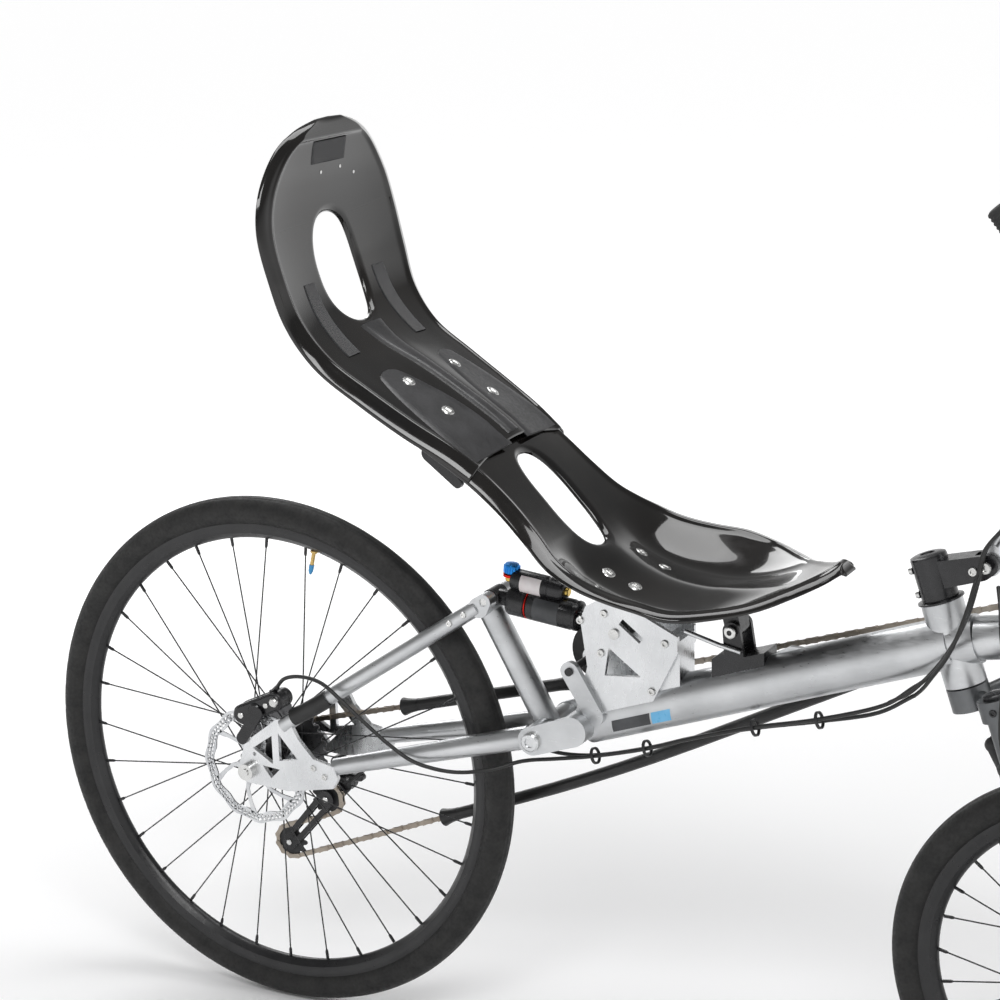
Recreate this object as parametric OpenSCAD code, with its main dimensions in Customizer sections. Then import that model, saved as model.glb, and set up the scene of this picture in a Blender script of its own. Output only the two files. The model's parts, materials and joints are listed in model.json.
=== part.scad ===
// Recumbent bicycle with a two-shell seat, rear suspension and a disc brake on each wheel.
// Drawn standing on the ground below the rear axle, then moved so that the rider's seat point is the origin.
// +X is forward, +Y is the drive side, +Z is up.

/* [Wheels] */
// Outer radius of the rear tyre
rear_tyre_r = 350; // [340:1:352]
// Outer radius of the front tyre
front_tyre_r = 243; // [230:1:248]
// Width of both tyres
tyre_w = 40; // [32:1:42]
// Width of both rims
rim_w = 24; // [20:1:26]
// Depth of both rims
rim_depth = 22; // [16:1:30]
// Distance between the axles
wheelbase = 1091; // [1085:1:1120]
// Diameter of a spoke
spoke_d = 2; // [1.8:0.1:2.3]
// Radius of both brake discs
disc_r = 80; // [70:1:80]

/* [Frame] */
// Diameter of the main tube
main_d = 60; // [54:1:64]
// Diameter of the head tube
head_d = 48; // [44:1:52]
// Length of the head tube
head_len = 98; // [92:1:102]
// Diameter of the front boom
boom_d = 50; // [44:1:54]
// Angle of the steering axis from level
head_angle = 72; // [70:1:74]
// Diameter of the swingarm's strut
strut_d = 33; // [28:1:38]
// Diameter of a seatstay
seatstay_d = 20; // [16:1:22]
// Diameter of a chainstay at the pivot
chainstay_d = 29; // [24:1:30]
// Thickness of a dropout plate
dropout_t = 6; // [5:1:8]

/* [Seat] */
// Thickness of the seat shells
shell_t = 4; // [3:0.5:6]
// Share of the drawn seat width
seat_width = 1; // [0.85:0.01:1.1]
// Diameter of the seat strut's rod
rod_d = 16; // [14:1:18]

/* [Drive] */
// Length of a crank between its two axes
crank_len = 170; // [150:2.5:175]
// Teeth on the chainring
ring_teeth = 39; // [34:1:42]
// Diameter of the chain's guide tubes
tube_d = 16; // [14.5:0.5:18]
// Height of the chain's side plates
plate_h = 8.5; // [8:0.1:8.8]

/* [Controls] */
// Length of the folding mast
mast_len = 330; // [290:5:350]
// Angle that the folded mast leans forward
mast_lean = 32; // [28:1:36]
// Width across the bar ends
bar_w = 420; // [360:10:440]
// Diameter of the handlebar
bar_d = 22.2; // [22:0.1:25.4]

/* [Hidden] */
$fn = 48;

// Clearances
fit = 0.05;
gap = 0.3;
lap = 0.35;
clamp_play = 3;

// Places on the side view, as [x, z]
rider = [560, 652];
rear_hub_at = [0, rear_tyre_r];
front_hub_at = [wheelbase, front_tyre_r];
pivot = [405, 443];
pivot_r = 17;
pivot_half_w = 47.5;
yoke_t = 6;
tube_cross = [460, 463];
tube_slope = 19;
head_at = [916, 620];
head_tilt = 90 - head_angle;
boom_start = [945, 628];
bb = [1380, 700];
bb_r = 21;
bb_w = 68;
shock_rear = [333, 606];
shock_front = [508, 586];
strut_foot = [505, 622];
clamp_at = [270, 790];
seat_hinge = [655, 605];
hinge_pin_r = 5;
main_r = main_d / 2;
head_r = head_d / 2;

// Wheels
rear_rim_r = 311;
front_rim_r = 203;
rim_lip = 5;
axle_r = 5;
hub_flange_r = 29;
spoke_hole_r = 25;
flange_t = 3;
dropout_y = 67;
eyelet_r = 2.6;
fork_y = 50;
rear_spokes_n = 32;
front_spokes_n = 28;
rim_spoke_y = 1.5;
rear_flanges = [-30, 13];
front_flanges = [-30, 30];
rear_lift = 0.9;
front_lift = 1.8;
rear_hub_half = 60;
front_hub_half = 40;
disc_y = 57;
front_disc_y = 39;
disc_t = 2;

// Chain
pitch = 12.7;
chain_y = 50;
cog_step = 4.34;
cog_teeth = [30, 27, 24, 21, 18, 16, 14, 12, 11];
drive_cog = 7;
cog_t = 1.8;
plate_in = 1.6;
plate_t = 1.2;
pin_every = 8 * pitch;
jockey_r = 22.5;
upper_jockey = [40, 272];
lower_jockey = [-22, 200];
idler_at = [450, 533];
idler_r = 35;
idler_foot = [482, 480];
bend_r = 150;
bend_at = [946, 452];
sag_r = 3000;
sag_at = [-795, 3100];
ring_r = pitch / 2 / sin(180 / ring_teeth);
drive_cog_r = pitch / 2 / sin(180 / cog_teeth[drive_cog]);

// Steering
axis_up = [-cos(head_angle), sin(head_angle)];
axis_fwd = [sin(head_angle), cos(head_angle)];
leg_y = 60;
stanchion_r = 15;
leg_r = 19;
crown_drop = head_len / 2 + 3;
mast_hinge = [957, 717];
hub_drop = [front_hub_at[0] - head_at[0], front_hub_at[1] - head_at[1]];
rake = hub_drop * axis_fwd;
fork_len = -(hub_drop * axis_up);
mast_r = 14.3;
grip_r = 16;
bar_rise_turn = mast_lean + 20;

// Places a point of the side view on the plane y
function at(p, y = 0) = [p[0], y, p[1]];
// Point at a distance along and across the steering axis
function on_axis(up, fwd = 0) = head_at + up * axis_up + fwd * axis_fwd;
function unit(v) = v / norm(v);

module from_rider() translate([-rider[0], 0, -rider[1]]) children();

// Round bar between two points
module rod(a, b, r, r2 = -1) {
    d = b - a;
    translate(a) rotate([0, acos(d[2] / norm(d)), atan2(d[1], d[0])])
        cylinder(r1 = r, r2 = r2 < 0 ? r : r2, h = norm(d));
}
// Bar or hole along y through a side-view point
module cross(p, y0, y1, r)
    translate([p[0], y0, p[1]]) rotate([-90, 0, 0]) cylinder(r = r, h = y1 - y0);
// Flat outline in the side view, from y0 to y1
module slab(y0, y1) translate([0, y1, 0]) rotate([90, 0, 0]) linear_extrude(y1 - y0) children();
// Two circles and the straight sides that touch both
module link(a, ra, b, rb) {
    d = b - a;
    t = atan2(d[1], d[0]);
    f = acos((ra - rb) / norm(d));
    translate(a) circle(r = ra);
    translate(b) circle(r = rb);
    polygon([a + ra * [cos(t + f), sin(t + f)], a + ra * [cos(t - f), sin(t - f)],
        b + rb * [cos(t - f), sin(t - f)], b + rb * [cos(t + f), sin(t + f)]]);
}
module both_sides() {
    children();
    mirror([0, 1, 0]) children();
}
// Turns a shape made about z so that it lies about the axle at p
module on_axle(p) translate([p[0], 0, p[1]]) rotate([-90, 0, 0]) children();
// Turned part about the axle from a closed list of [radius, y] points
module turned(p, points) on_axle(p) rotate_extrude() polygon(points);
// Ring of radius r_out with a hole of radius r_in from y0 to y1
module ring(p, r_out, r_in, y0, y1) turned(p, [[r_in, y0], [r_out, y0], [r_out, y1], [r_in, y1]]);

// ---- wheels
module tyre(p, outer_r, rim_r) on_axle(p) rotate_extrude() difference() {
    translate([outer_r - tyre_w / 2, 0]) circle(r = tyre_w / 2);
    translate([0, -rim_w / 2]) square([rim_r + rim_lip, rim_w]);
}
module rim(p, rim_r) turned(p, [[rim_r + rim_lip - rim_depth, -rim_w / 4], [rim_r - 4, -rim_w / 2],
    [rim_r + rim_lip, -rim_w / 2], [rim_r + rim_lip, rim_w / 2], [rim_r - 4, rim_w / 2],
    [rim_r + rim_lip - rim_depth, rim_w / 4]]);
// Crossed spokes: a leading and a trailing set on each flange, laid on its two faces; the set on the
// outer face starts further out by lift, so that it clears the flange's edge as it slants in to the rim
module spokes(p, count, crosses, rim_r, flanges, lift) {
    r_end = rim_r + rim_lip - rim_depth - 0.1;
    step = 1440 / count;
    sweep = 720 * crosses / count;
    for (side = [-1, 1]) for (lead = [1, -1]) for (i = [0 : count / 4 - 1]) {
        a = i * step + (lead < 0 ? step / 2 : 0) + (side > 0 ? step / 4 : 0);
        y = flanges[side < 0 ? 0 : 1] + lead * ((flange_t + spoke_d + fit) / 2 + (lead == side ? lift : 0));
        rod([p[0] + spoke_hole_r * cos(a), y, p[1] + spoke_hole_r * sin(a)],
            [p[0] + r_end * cos(a + lead * sweep), side * rim_spoke_y, p[1] + r_end * sin(a + lead * sweep)],
            spoke_d / 2);
    }
}
// Hub shell: bore, barrel, two flanges and a brake disc seat on the right
module hub(p, half_w, flanges, bore_r) turned(p, [[bore_r, -half_w], [17, -half_w],
    [17, flanges[0] - flange_t / 2], [hub_flange_r, flanges[0] - flange_t / 2],
    [hub_flange_r, flanges[0] + flange_t / 2], [15, flanges[0] + flange_t / 2],
    [15, flanges[1] - flange_t / 2], [hub_flange_r, flanges[1] - flange_t / 2],
    [hub_flange_r, flanges[1] + flange_t / 2], [15, flanges[1] + flange_t / 2], [15, half_w],
    [bore_r, half_w]]);
// Brake disc: braking ring, inner ring and slanted arms
module disc(p, y) {
    ring(p, disc_r, disc_r - 15, y - disc_t / 2, y + disc_t / 2);
    ring(p, 26, 17, y - disc_t / 2, y + disc_t / 2);
    for (i = [0 : 5]) slab(y - disc_t / 2, y + disc_t / 2) translate(p) rotate(i * 60)
        polygon([[20, -5], [25, 4], [disc_r - 12, 26], [disc_r - 12, 17]]);
}
module rear_tyre() color("#1c1c1c") from_rider() tyre(rear_hub_at, rear_tyre_r, rear_rim_r);
module front_tyre() color("#1c1c1c") from_rider() tyre(front_hub_at, front_tyre_r, front_rim_r);
module rear_rim() color("#0e0e0f") from_rider() rim(rear_hub_at, rear_rim_r);
module front_rim() color("#0e0e0f") from_rider() rim(front_hub_at, front_rim_r);
module rear_spokes() color("#202022") from_rider()
    spokes(rear_hub_at, rear_spokes_n, 3, rear_rim_r, rear_flanges, rear_lift);
module front_spokes() color("#202022") from_rider()
    spokes(front_hub_at, front_spokes_n, 2, front_rim_r, front_flanges, front_lift);
module rear_hub() color("#151517") from_rider()
    hub(rear_hub_at, rear_hub_half, rear_flanges, axle_r + fit);
module front_hub() color("#151517") from_rider()
    hub(front_hub_at, front_hub_half, front_flanges, axle_r + fit);
module rear_disc() color("#b9bcc0") from_rider() disc(rear_hub_at, -disc_y);
module front_disc() color("#b9bcc0") from_rider() disc(front_hub_at, -front_disc_y);
module cassette() color("#2a2b2d") from_rider() {
    for (i = [0 : len(cog_teeth) - 1]) {
        y = chain_y + (i - drive_cog) * cog_step;
        ring(rear_hub_at, pitch / 2 / sin(180 / cog_teeth[i]) + 1.5, 17.5, y - cog_t / 2, y + cog_t / 2);
    }
    ring(rear_hub_at, 18.5, 15, chain_y - 7 * cog_step, chain_y + 1.6 * cog_step);
}
module rear_axle() color("#1a1a1c") from_rider() {
    cross(rear_hub_at, -dropout_y - 18, dropout_y + 16, axle_r);
    both_sides() cross(rear_hub_at, -dropout_y - 16, -dropout_y - dropout_t, 11);
    both_sides() cross(rear_hub_at, -dropout_y, -rear_hub_half - gap, 9);
}

// ---- frame
// Fin on top of the main tube, and the two lugs that carry the idler, each thickened by more
module gusset(half_t) slab(-half_t, half_t) polygon([[668, 560], [722, 590], [760, 590], [760, 560]]);
module idler_lugs(r, more) both_sides()
    slab(main_r - 3 - more, main_r + 5 + more) link(idler_foot, r, idler_at, r);
module head_tube_axis(r, extra = 0)
    rod(at(on_axis(-head_len / 2 - extra)), at(on_axis(head_len / 2 + extra)), r);
module main_tube(r) rod(at(tube_cross), at(head_at), r);
module frame() color("#c9ccce") from_rider() difference() {
    union() {
        main_tube(main_r);
        head_tube_axis(head_r);
        cross(tube_cross, -pivot_half_w - yoke_t, pivot_half_w + yoke_t, 19);
        both_sides() slab(pivot_half_w + gap, pivot_half_w + yoke_t) link(pivot, 18, tube_cross, 19);
        rod(at(head_at), at(boom_start), boom_d / 2 + 3);
        gusset(3);
        idler_lugs(12, 0);
    }
    cross(pivot, -100, 100, 8 + fit);
    head_tube_axis(15 + fit, 50);
    rod(at(boom_start), at(bb), boom_d / 2 + fit);
    cross(idler_at, -100, 100, axle_r + fit);
}
module boom() color("#c9ccce") from_rider() difference() {
    union() {
        rod(at(boom_start), at(bb), boom_d / 2);
        cross(bb, -bb_w / 2, bb_w / 2, bb_r);
    }
    cross(bb, -100, 100, 12 + fit);
    head_tube_axis(head_r + gap, 50);
}
// Plates that hold the rear axle, with the windows that lighten them
module dropout_plates() both_sides() slab(dropout_y, dropout_y + dropout_t) difference() {
    union() {
        translate(rear_hub_at) circle(r = 17);
        polygon([rear_hub_at + [-17, 0], rear_hub_at + [-6, -17], [60, 330], [128, 344], [136, 358],
            [130, 374], [100, 380], [78, 404], [64, 430], [46, 426], [-4, 388]]);
    }
    translate(rear_hub_at) circle(r = axle_r + fit);
    polygon([[8, 382], [38, 403], [38, 364]]);
    polygon([[48, 408], [48, 370], [76, 376]]);
    polygon([[22, 360], [48, 358], [34, 344]]);
    translate([10, 374]) circle(r = eyelet_r);
}
module rear_dropouts() color("#c9ccce") from_rider() dropout_plates();
module pivot_shell(r) cross(pivot, -pivot_half_w, pivot_half_w, r);
module chainstay_bars() both_sides()
    rod([392, 33, 440], [126, 62, 370], chainstay_d / 2, chainstay_d / 2 - 3.5);
module chainstays() color("#c9ccce") from_rider() difference() {
    union() {
        pivot_shell(pivot_r);
        chainstay_bars();
    }
    cross(pivot, -100, 100, 8 + fit);
    dropout_plates();
}
module seatstays() color("#c9ccce") from_rider() difference() {
    union() {
        both_sides() rod([322, 26, 597], [54, 68, 418], seatstay_d / 2);
        both_sides() slab(15, 33) link([326, 598], 13, shock_rear, 10);
    }
    dropout_plates();
    cross(shock_rear, -100, 100, 5 + fit);
}
module strut_bar() rod(at([325, 590]), at(pivot), strut_d / 2);
module swingarm_strut() color("#c9ccce") from_rider() difference() {
    strut_bar();
    pivot_shell(pivot_r);
    both_sides() rod([322, 26, 597], [54, 68, 418], seatstay_d / 2);
    both_sides() slab(15, 33) link([326, 598], 13, shock_rear, 10);
    cross(shock_rear, -15, 15, 15);
}
module pivot_bolt() color("#8d9093") from_rider() {
    cross(pivot, -pivot_half_w - yoke_t, pivot_half_w + yoke_t, 8);
    both_sides() cross(pivot, pivot_half_w + yoke_t, pivot_half_w + yoke_t + 3, 12);
}

// ---- suspension
shock_dir = unit(shock_front - shock_rear);
function on_shock(s, up = 0) = shock_rear + s * shock_dir + up * [-shock_dir[1], shock_dir[0]];
shock_len = norm(shock_front - shock_rear);
module shock_body() color("#17181a") from_rider() {
    difference() {
        union() {
            cross(shock_rear, -14.5, 14.5, 11);
            rod(at(shock_rear), at(on_shock(24)), 10);
            rod(at(on_shock(20)), at(on_shock(118)), 19);
            rod(at(on_shock(22, 27)), at(on_shock(96, 27)), 14);
            rod(at(on_shock(20, 5)), at(on_shock(20, 48)), 11);
        }
        cross(shock_rear, -50, 50, 5 + fit);
        rod(at(on_shock(100)), at(on_shock(150)), 8 + fit);
    }
    cross(shock_rear, -36, 36, 5);
}
module shock_shaft() color("#b9bcc0") from_rider() {
    difference() {
        union() {
            rod(at(on_shock(100 + gap)), at(on_shock(shock_len - 6)), 8);
            cross(shock_front, -14.5, 14.5, 13);
        }
        cross(shock_front, -50, 50, 5 + fit);
    }
    cross(shock_front, -36, 36, 5);
}

// ---- seat supports on the frame
module seat_bracket() color("#c9ccce") from_rider() {
    bracket_body();
    cross(strut_foot, -28, 28, 4);
}
module bracket_body() difference() {
    union() {
        both_sides() slab(22, 28) difference() {
            union() {
                polygon([[451, 470], [471, 540], [463, 598], [470, 616], [500, 634], [590, 592], [590, 572],
                    [556, 505]]);
                translate(strut_foot) circle(r = 12);
            }
            polygon([[494, 532], [500, 568], [542, 536]]);
            translate([530, 592]) rotate(-38) square([34, 9], center = true);
        }
        slab(-22, 22) polygon([[560, 515], [566, 585], [590, 585], [590, 520]]);
    }
    main_tube(main_r);
    idler_lugs(12 + fit, fit);
    cross(tube_cross, -60, 60, 19);
    cross(shock_front, -50, 50, 5 + fit);
}
module front_seat_mount() color("#2a2b2d") from_rider() {
    difference() {
        union() {
            slab(-20, 20) polygon([[630, 540], [630, 568], [640, 576], [672, 576], [696, 584], [696, 560]]);
            both_sides() slab(14.5, 20) link([658, 578], 12, seat_hinge, 11);
        }
        main_tube(main_r);
        gusset(3 + fit);
    }
    cross(seat_hinge, -25, 25, hinge_pin_r);
}

// ---- chain path: circles [centre, pitch radius, side], side is 1 where the centre is on the left
loop = [[rear_hub_at, drive_cog_r, -1], [idler_at, idler_r, 1], [bb, ring_r, -1], [bend_at, bend_r, 1],
    [sag_at, sag_r, -1], [lower_jockey, jockey_r, -1], [upper_jockey, jockey_r, 1]];
n_loop = len(loop);
function left_of(h) = [cos(h + 90), sin(h + 90)];
// Direction of the straight run from circle i to the next one
function heading(i) = let(a = loop[i % n_loop], b = loop[(i + 1) % n_loop], d = b[0] - a[0])
    atan2(d[1], d[0]) - asin((b[2] * b[1] - a[2] * a[1]) / norm(d));
// Heading h moved by whole turns to lie just past h0 on the turning side
function whole(a) = a + 1 - 360 * floor((a + 1) / 360) - 1;
function turn_to(h0, h, side) = h0 + side * whole(side * (h - h0));
function arrive(i) = heading((i + n_loop - 1) % n_loop);
function leave(i) = turn_to(arrive(i), heading(i), loop[i][2]);
// Point at heading h on circle i, e to the left of the path
function on_circle(i, h, e = 0) = loop[i][0] + (e - loop[i][2] * loop[i][1]) * left_of(h);
// Points along circle i between shares s0 and s1 of its arc
function arc(i, e, s0 = 0, s1 = 1) = let(h0 = arrive(i), h1 = leave(i),
    n = max(1, ceil(abs(h1 - h0) * (s1 - s0) / (i == 4 ? 1.2 : 9))))
    [for (k = [0 : n]) on_circle(i, h0 + (h1 - h0) * (s0 + (s1 - s0) * k / n), e)];
function upper_side(e) = concat(arc(0, e, 0.5, 1), arc(1, e), arc(2, e, 0, 0.5));
function lower_side(e) = concat(arc(2, e, 0.5, 1), arc(3, e), arc(4, e), arc(5, e), arc(6, e),
    arc(0, e, 0, 0.5));
function backwards(l) = [for (i = [len(l) - 1 : -1 : 0]) l[i]];
module plates(left, right) for (side = [-1, 1]) slab(chain_y + (side < 0 ? -plate_in - plate_t : plate_in),
    chain_y + (side < 0 ? -plate_in : plate_in + plate_t)) polygon(concat(left, backwards(right)));
// Pins along the straight run that leaves circle i
module pins(i) {
    a = on_circle(i, leave(i));
    j = (i + 1) % n_loop;
    b = on_circle(j, arrive(j));
    n = max(1, floor(norm(b - a) / pin_every));
    for (k = [1 : n]) cross(a + (b - a) * (k - 0.5) / n, chain_y - plate_in, chain_y + plate_in, 2.5);
}
module chain_upper_run() color("#8a8177") from_rider() {
    plates(upper_side(plate_h / 2), upper_side(-plate_h / 2));
    for (i = [0, 1]) pins(i);
}
module chain_lower_run() color("#8a8177") from_rider() {
    plates(lower_side(plate_h / 2), lower_side(-plate_h / 2));
    for (i = [2, 3, 4, 5, 6]) pins(i);
}
// Point at share s of the straight run that leaves circle i
function run_point(i, s) = let(a = on_circle(i, leave(i)), j = (i + 1) % n_loop, b = on_circle(j, arrive(j)))
    a + (b - a) * s;
upper_tube_ends = [0.38, 0.9];
lower_tube_ends = [0.55, 0.32];
tube_wall = 2;
// The straight upper tube and the route of the bent lower one; more lengthens them at both ends
module upper_tube(more, r) rod(at(run_point(0, upper_tube_ends[0] - more), chain_y),
    at(run_point(0, upper_tube_ends[1] + more), chain_y), r);
function lower_tube(more) = [for (p = concat([run_point(2, lower_tube_ends[0] - more)], arc(3, 0),
    arc(4, 0), [run_point(4, lower_tube_ends[1] + more)])) at(p, chain_y)];
module chain_tubes() color("#232427") from_rider() {
    difference() {
        upper_tube(0, tube_d / 2);
        upper_tube(0.02, tube_d / 2 - tube_wall);
    }
    difference() {
        hose(lower_tube(0), tube_d / 2, 16);
        hose(lower_tube(0.02), tube_d / 2 - tube_wall, 16);
    }
}
module idler() color("#232427") from_rider() {
    ring(idler_at, idler_r + 2, axle_r + fit, chain_y - cog_t / 2, chain_y + cog_t / 2);
    ring(idler_at, 13, axle_r + fit, chain_y - 6, chain_y + 6);
    cross(idler_at, -main_r - 8, chain_y + 10, axle_r);
    ring(idler_at, 8, axle_r, main_r + 5, chain_y - 6);
}
// Two jockey wheels between cage plates, and the arm that hangs them from the left dropout
module rear_derailleur() color("#151517") from_rider() {
    for (p = [upper_jockey, lower_jockey]) {
        ring(p, jockey_r - 1, 0, chain_y - 1, chain_y + 1);
        cross(p, chain_y - 7, chain_y + 7, 4);
    }
    slab(chain_y - 7, chain_y - 5) link(upper_jockey, 11, lower_jockey, 10);
    slab(chain_y + 5, chain_y + 7) link(upper_jockey, 11, lower_jockey, 10);
    slab(chain_y + 7, chain_y + 15) link(upper_jockey, 13, [60, 292], 12);
    slab(chain_y + 15, dropout_y + dropout_t + 8) link([60, 292], 12, [46, 316], 9);
}
module rear_caliper() color("#151517") from_rider() difference() {
    union() {
        slab(-dropout_y - 4, -disc_y + 14) link([-8, 424], 12, [42, 448], 12);
        slab(-dropout_y - dropout_t - 4, -dropout_y - dropout_t - gap) link([-6, 394], 8, [20, 432], 8);
        cross([20, 432], -dropout_y - dropout_t - gap, -dropout_y - 4, 6);
    }
    disc_slot(rear_hub_at, disc_y);
}
// Room in a caliper for the brake disc at -y
module disc_slot(p, y) slab(-y - disc_t / 2 - 2, -y + disc_t / 2 + 2) translate(p) circle(r = disc_r + 3);

// ---- hoses: rings of points around a route
rear_hose_route = [[40, -62, 462], [60, -68, 482], [90, -73, 490], [120, -75, 486], [148, -76, 468],
    [180, -74, 442], [215, -72, 416], [250, -69, 397], [296, -58, 388], [340, -42, 392], [376, -22, 402],
    [420, -14, 409], [470, -14, 420], [540, -14, 440], [600, -14, 462], [680, -14, 488],
    [760, -16, 510], [840, -22, 540], [882, -30, 572]];
shift_route = [[71, 60, 298], [110, 58, 330], [160, 40, 360], [230, 36, 384], [300, 30, 398],
    [345, 28, 406], [376, 14, 410], [420, -2, 412], [470, -4, 418], [540, -4, 438], [600, -4, 460],
    [680, -4, 484], [760, -4, 504],
    [830, -10, 526], [880, -28, 560]];
front_hose_route = [[975, -34, 700], [986, -62, 686], [996, -92, 668], [1005, -112, 645], [1006, -116, 615],
    [1003, -112, 580], [1002, -103, 545], [1008, -89, 503], [1019, -82.2, 465], [1031, -82, 420], [1036, -84, 370],
    [1042, -78, 336]];
function tangent(p, i) = unit(p[min(i + 1, len(p) - 1)] - p[max(i - 1, 0)]);
function tube_ring(p, i, r, n) = let(t = tangent(p, i), u = unit(cross([0.3, 0.9, 0.1], t)), v = cross(t, u))
    [for (k = [0 : n - 1]) p[i] + r * (cos(360 * k / n) * u + sin(360 * k / n) * v)];
module hose(p, r, n = 8) polyhedron(points = [for (i = [0 : len(p) - 1]) each tube_ring(p, i, r, n)],
    faces = concat([[for (k = [0 : n - 1]) k]], [for (i = [0 : len(p) - 2]) for (k = [0 : n - 1])
        for (half = [0, 1]) let(a = i * n + k, b = i * n + (k + 1) % n)
            half == 0 ? [a, a + n, b + n] : [a, b + n, b]],
        [[for (k = [n - 1 : -1 : 0]) (len(p) - 1) * n + k]]));
module rear_brake_hose() color("#111113") from_rider() hose(rear_hose_route, 2.5);
module shift_cable() color("#111113") from_rider() hose(shift_route, 2.5);
module front_brake_hose() color("#111113") from_rider() hose(front_hose_route, 2.5);

// ---- steering
module fork_crown() color("#6f7276") from_rider() {
    rod(at(on_axis(-crown_drop)), at(on_axis(head_len / 2 + 50)), 15);
    rod(at(on_axis(-crown_drop + 1)), at(on_axis(-crown_drop - 26)), 24);
    both_sides() leg_rod(-crown_drop - 4, -crown_drop - 28, 20);
    both_sides() crown_arm();
    stanchions(stanchion_r);
}
// Round bar along the left leg of the fork, between two heights on the steering axis
module leg_rod(top, bottom, r) rod(at(on_axis(top, rake), leg_y), at(on_axis(bottom, rake), leg_y), r);
module stanchions(r) both_sides() leg_rod(-crown_drop - 20, -crown_drop - 140, r);
module crown_arm() {
    a = on_axis(-crown_drop - 16, 8);
    b = on_axis(-crown_drop - 16, rake);
    rod([a[0], 0, a[1]], [b[0], leg_y, b[1]], 10);
}
leg_top = -crown_drop - 84;
module fork_lowers() color("#1a1b1d") from_rider() difference() {
    union() {
        both_sides() leg_rod(leg_top, -fork_len + 16, leg_r);
        both_sides() slab(fork_y + 2, fork_y + 10) link(on_axis(-fork_len + 30, rake), 16, front_hub_at, 14);
        arch_bar();
    }
    stanchions(stanchion_r + fit);
    cross(front_hub_at, -100, 100, axle_r + fit);
}
module arch_bar() {
    up = -crown_drop - 62;
    back = rake - 26;
    both_sides() rod(at(on_axis(leg_top - 20, rake - 10), leg_y - 4), at(on_axis(up, back), 38), 8);
    rod(at(on_axis(up, back), -38), at(on_axis(up, back), 38), 8);
    both_sides() translate(at(on_axis(up, back), 38)) sphere(r = 9);
}
module front_axle() color("#1a1a1c") from_rider() {
    cross(front_hub_at, -fork_y - 18, fork_y + 18, axle_r);
    both_sides() cross(front_hub_at, -fork_y - 16, -fork_y - 10, 10);
    both_sides() cross(front_hub_at, -fork_y - 2, -front_hub_half - gap, 9);
}
stem_low = head_len / 2 + 4;
module stem() color("#17181a") from_rider() {
    stem_body();
    cross(mast_hinge, -18, 18, 4);
}
module stem_body() difference() {
    union() {
        rod(at(on_axis(stem_low)), at(on_axis(stem_low + 48)), 21);
        slab(-16, 16) link(on_axis(stem_low + 28, 6), 16, mast_hinge - [8, 4], 14);
        slab(-16, 16) link(mast_hinge - [8, 4], 14, mast_hinge, 12);
    }
    rod(at(on_axis(0)), at(on_axis(head_len / 2 + 50)), 15 + fit);
    cross(mast_hinge, -8.5, 8.5, 19);
}

module front_caliper() color("#151517") from_rider() difference() {
    union() {
        slab(-front_disc_y - 14, -front_disc_y + 10) link([1024, 296], 12, [1046, 334], 12);
        slab(-leg_y - 2, -front_disc_y - 8) link([1034, 316], 9, [1062, 306], 9);
    }
    disc_slot(front_hub_at, front_disc_y);
    both_sides() leg_rod(leg_top, -fork_len + 16, leg_r + fit);
}
mast_dir = [sin(mast_lean), cos(mast_lean)];
mast_top = mast_hinge + mast_len * mast_dir;
grip_dir = [-cos(bar_rise_turn), sin(bar_rise_turn)];
bar_back = 60;
grip_len = 125;
bar_end = mast_top + (bar_back + grip_len) * grip_dir;
module handlebar_mast() color("#17181a") from_rider() difference() {
    union() {
        slab(-8, 8) link(mast_hinge, 14, mast_hinge + 26 * mast_dir, mast_r);
        rod(at(mast_hinge + 24 * mast_dir), at(mast_top), mast_r);
        cross(mast_top, -24, 24, bar_d / 2 + 7);
    }
    cross(mast_hinge, -50, 50, 4 + fit);
    cross(mast_top, -50, 50, bar_d / 2 + fit);
}
module handlebar() color("#17181a") from_rider() {
    cross(mast_top, -bar_w / 2, bar_w / 2, bar_d / 2);
    both_sides() translate(at(mast_top, bar_w / 2)) sphere(r = bar_d / 2 + 1.5);
    both_sides() rod(at(mast_top, bar_w / 2), at(bar_end, bar_w / 2), bar_d / 2);
}
module grips() color("#202022") from_rider() both_sides() difference() {
    rod(at(mast_top + bar_back * grip_dir, bar_w / 2), at(bar_end + 3 * grip_dir, bar_w / 2), grip_r);
    rod(at(mast_top, bar_w / 2), at(bar_end, bar_w / 2), bar_d / 2 + fit);
}
lever_at = mast_top + (bar_back - 18) * grip_dir;
lever_side = [grip_dir[1], -grip_dir[0]];
module brake_levers() color("#17181a") from_rider() both_sides() difference() {
    union() {
        rod(at(lever_at - 12 * grip_dir, bar_w / 2), at(lever_at + 12 * grip_dir, bar_w / 2), 17);
        slab(bar_w / 2 - 8, bar_w / 2 + 8) link(lever_at, 10, lever_at + 30 * lever_side, 9);
        slab(bar_w / 2 - 4, bar_w / 2 + 4)
            link(lever_at + 34 * lever_side, 6, lever_at + 44 * lever_side + 105 * grip_dir, 6);
    }
    rod(at(mast_top, bar_w / 2), at(bar_end, bar_w / 2), bar_d / 2 + fit);
}

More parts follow.
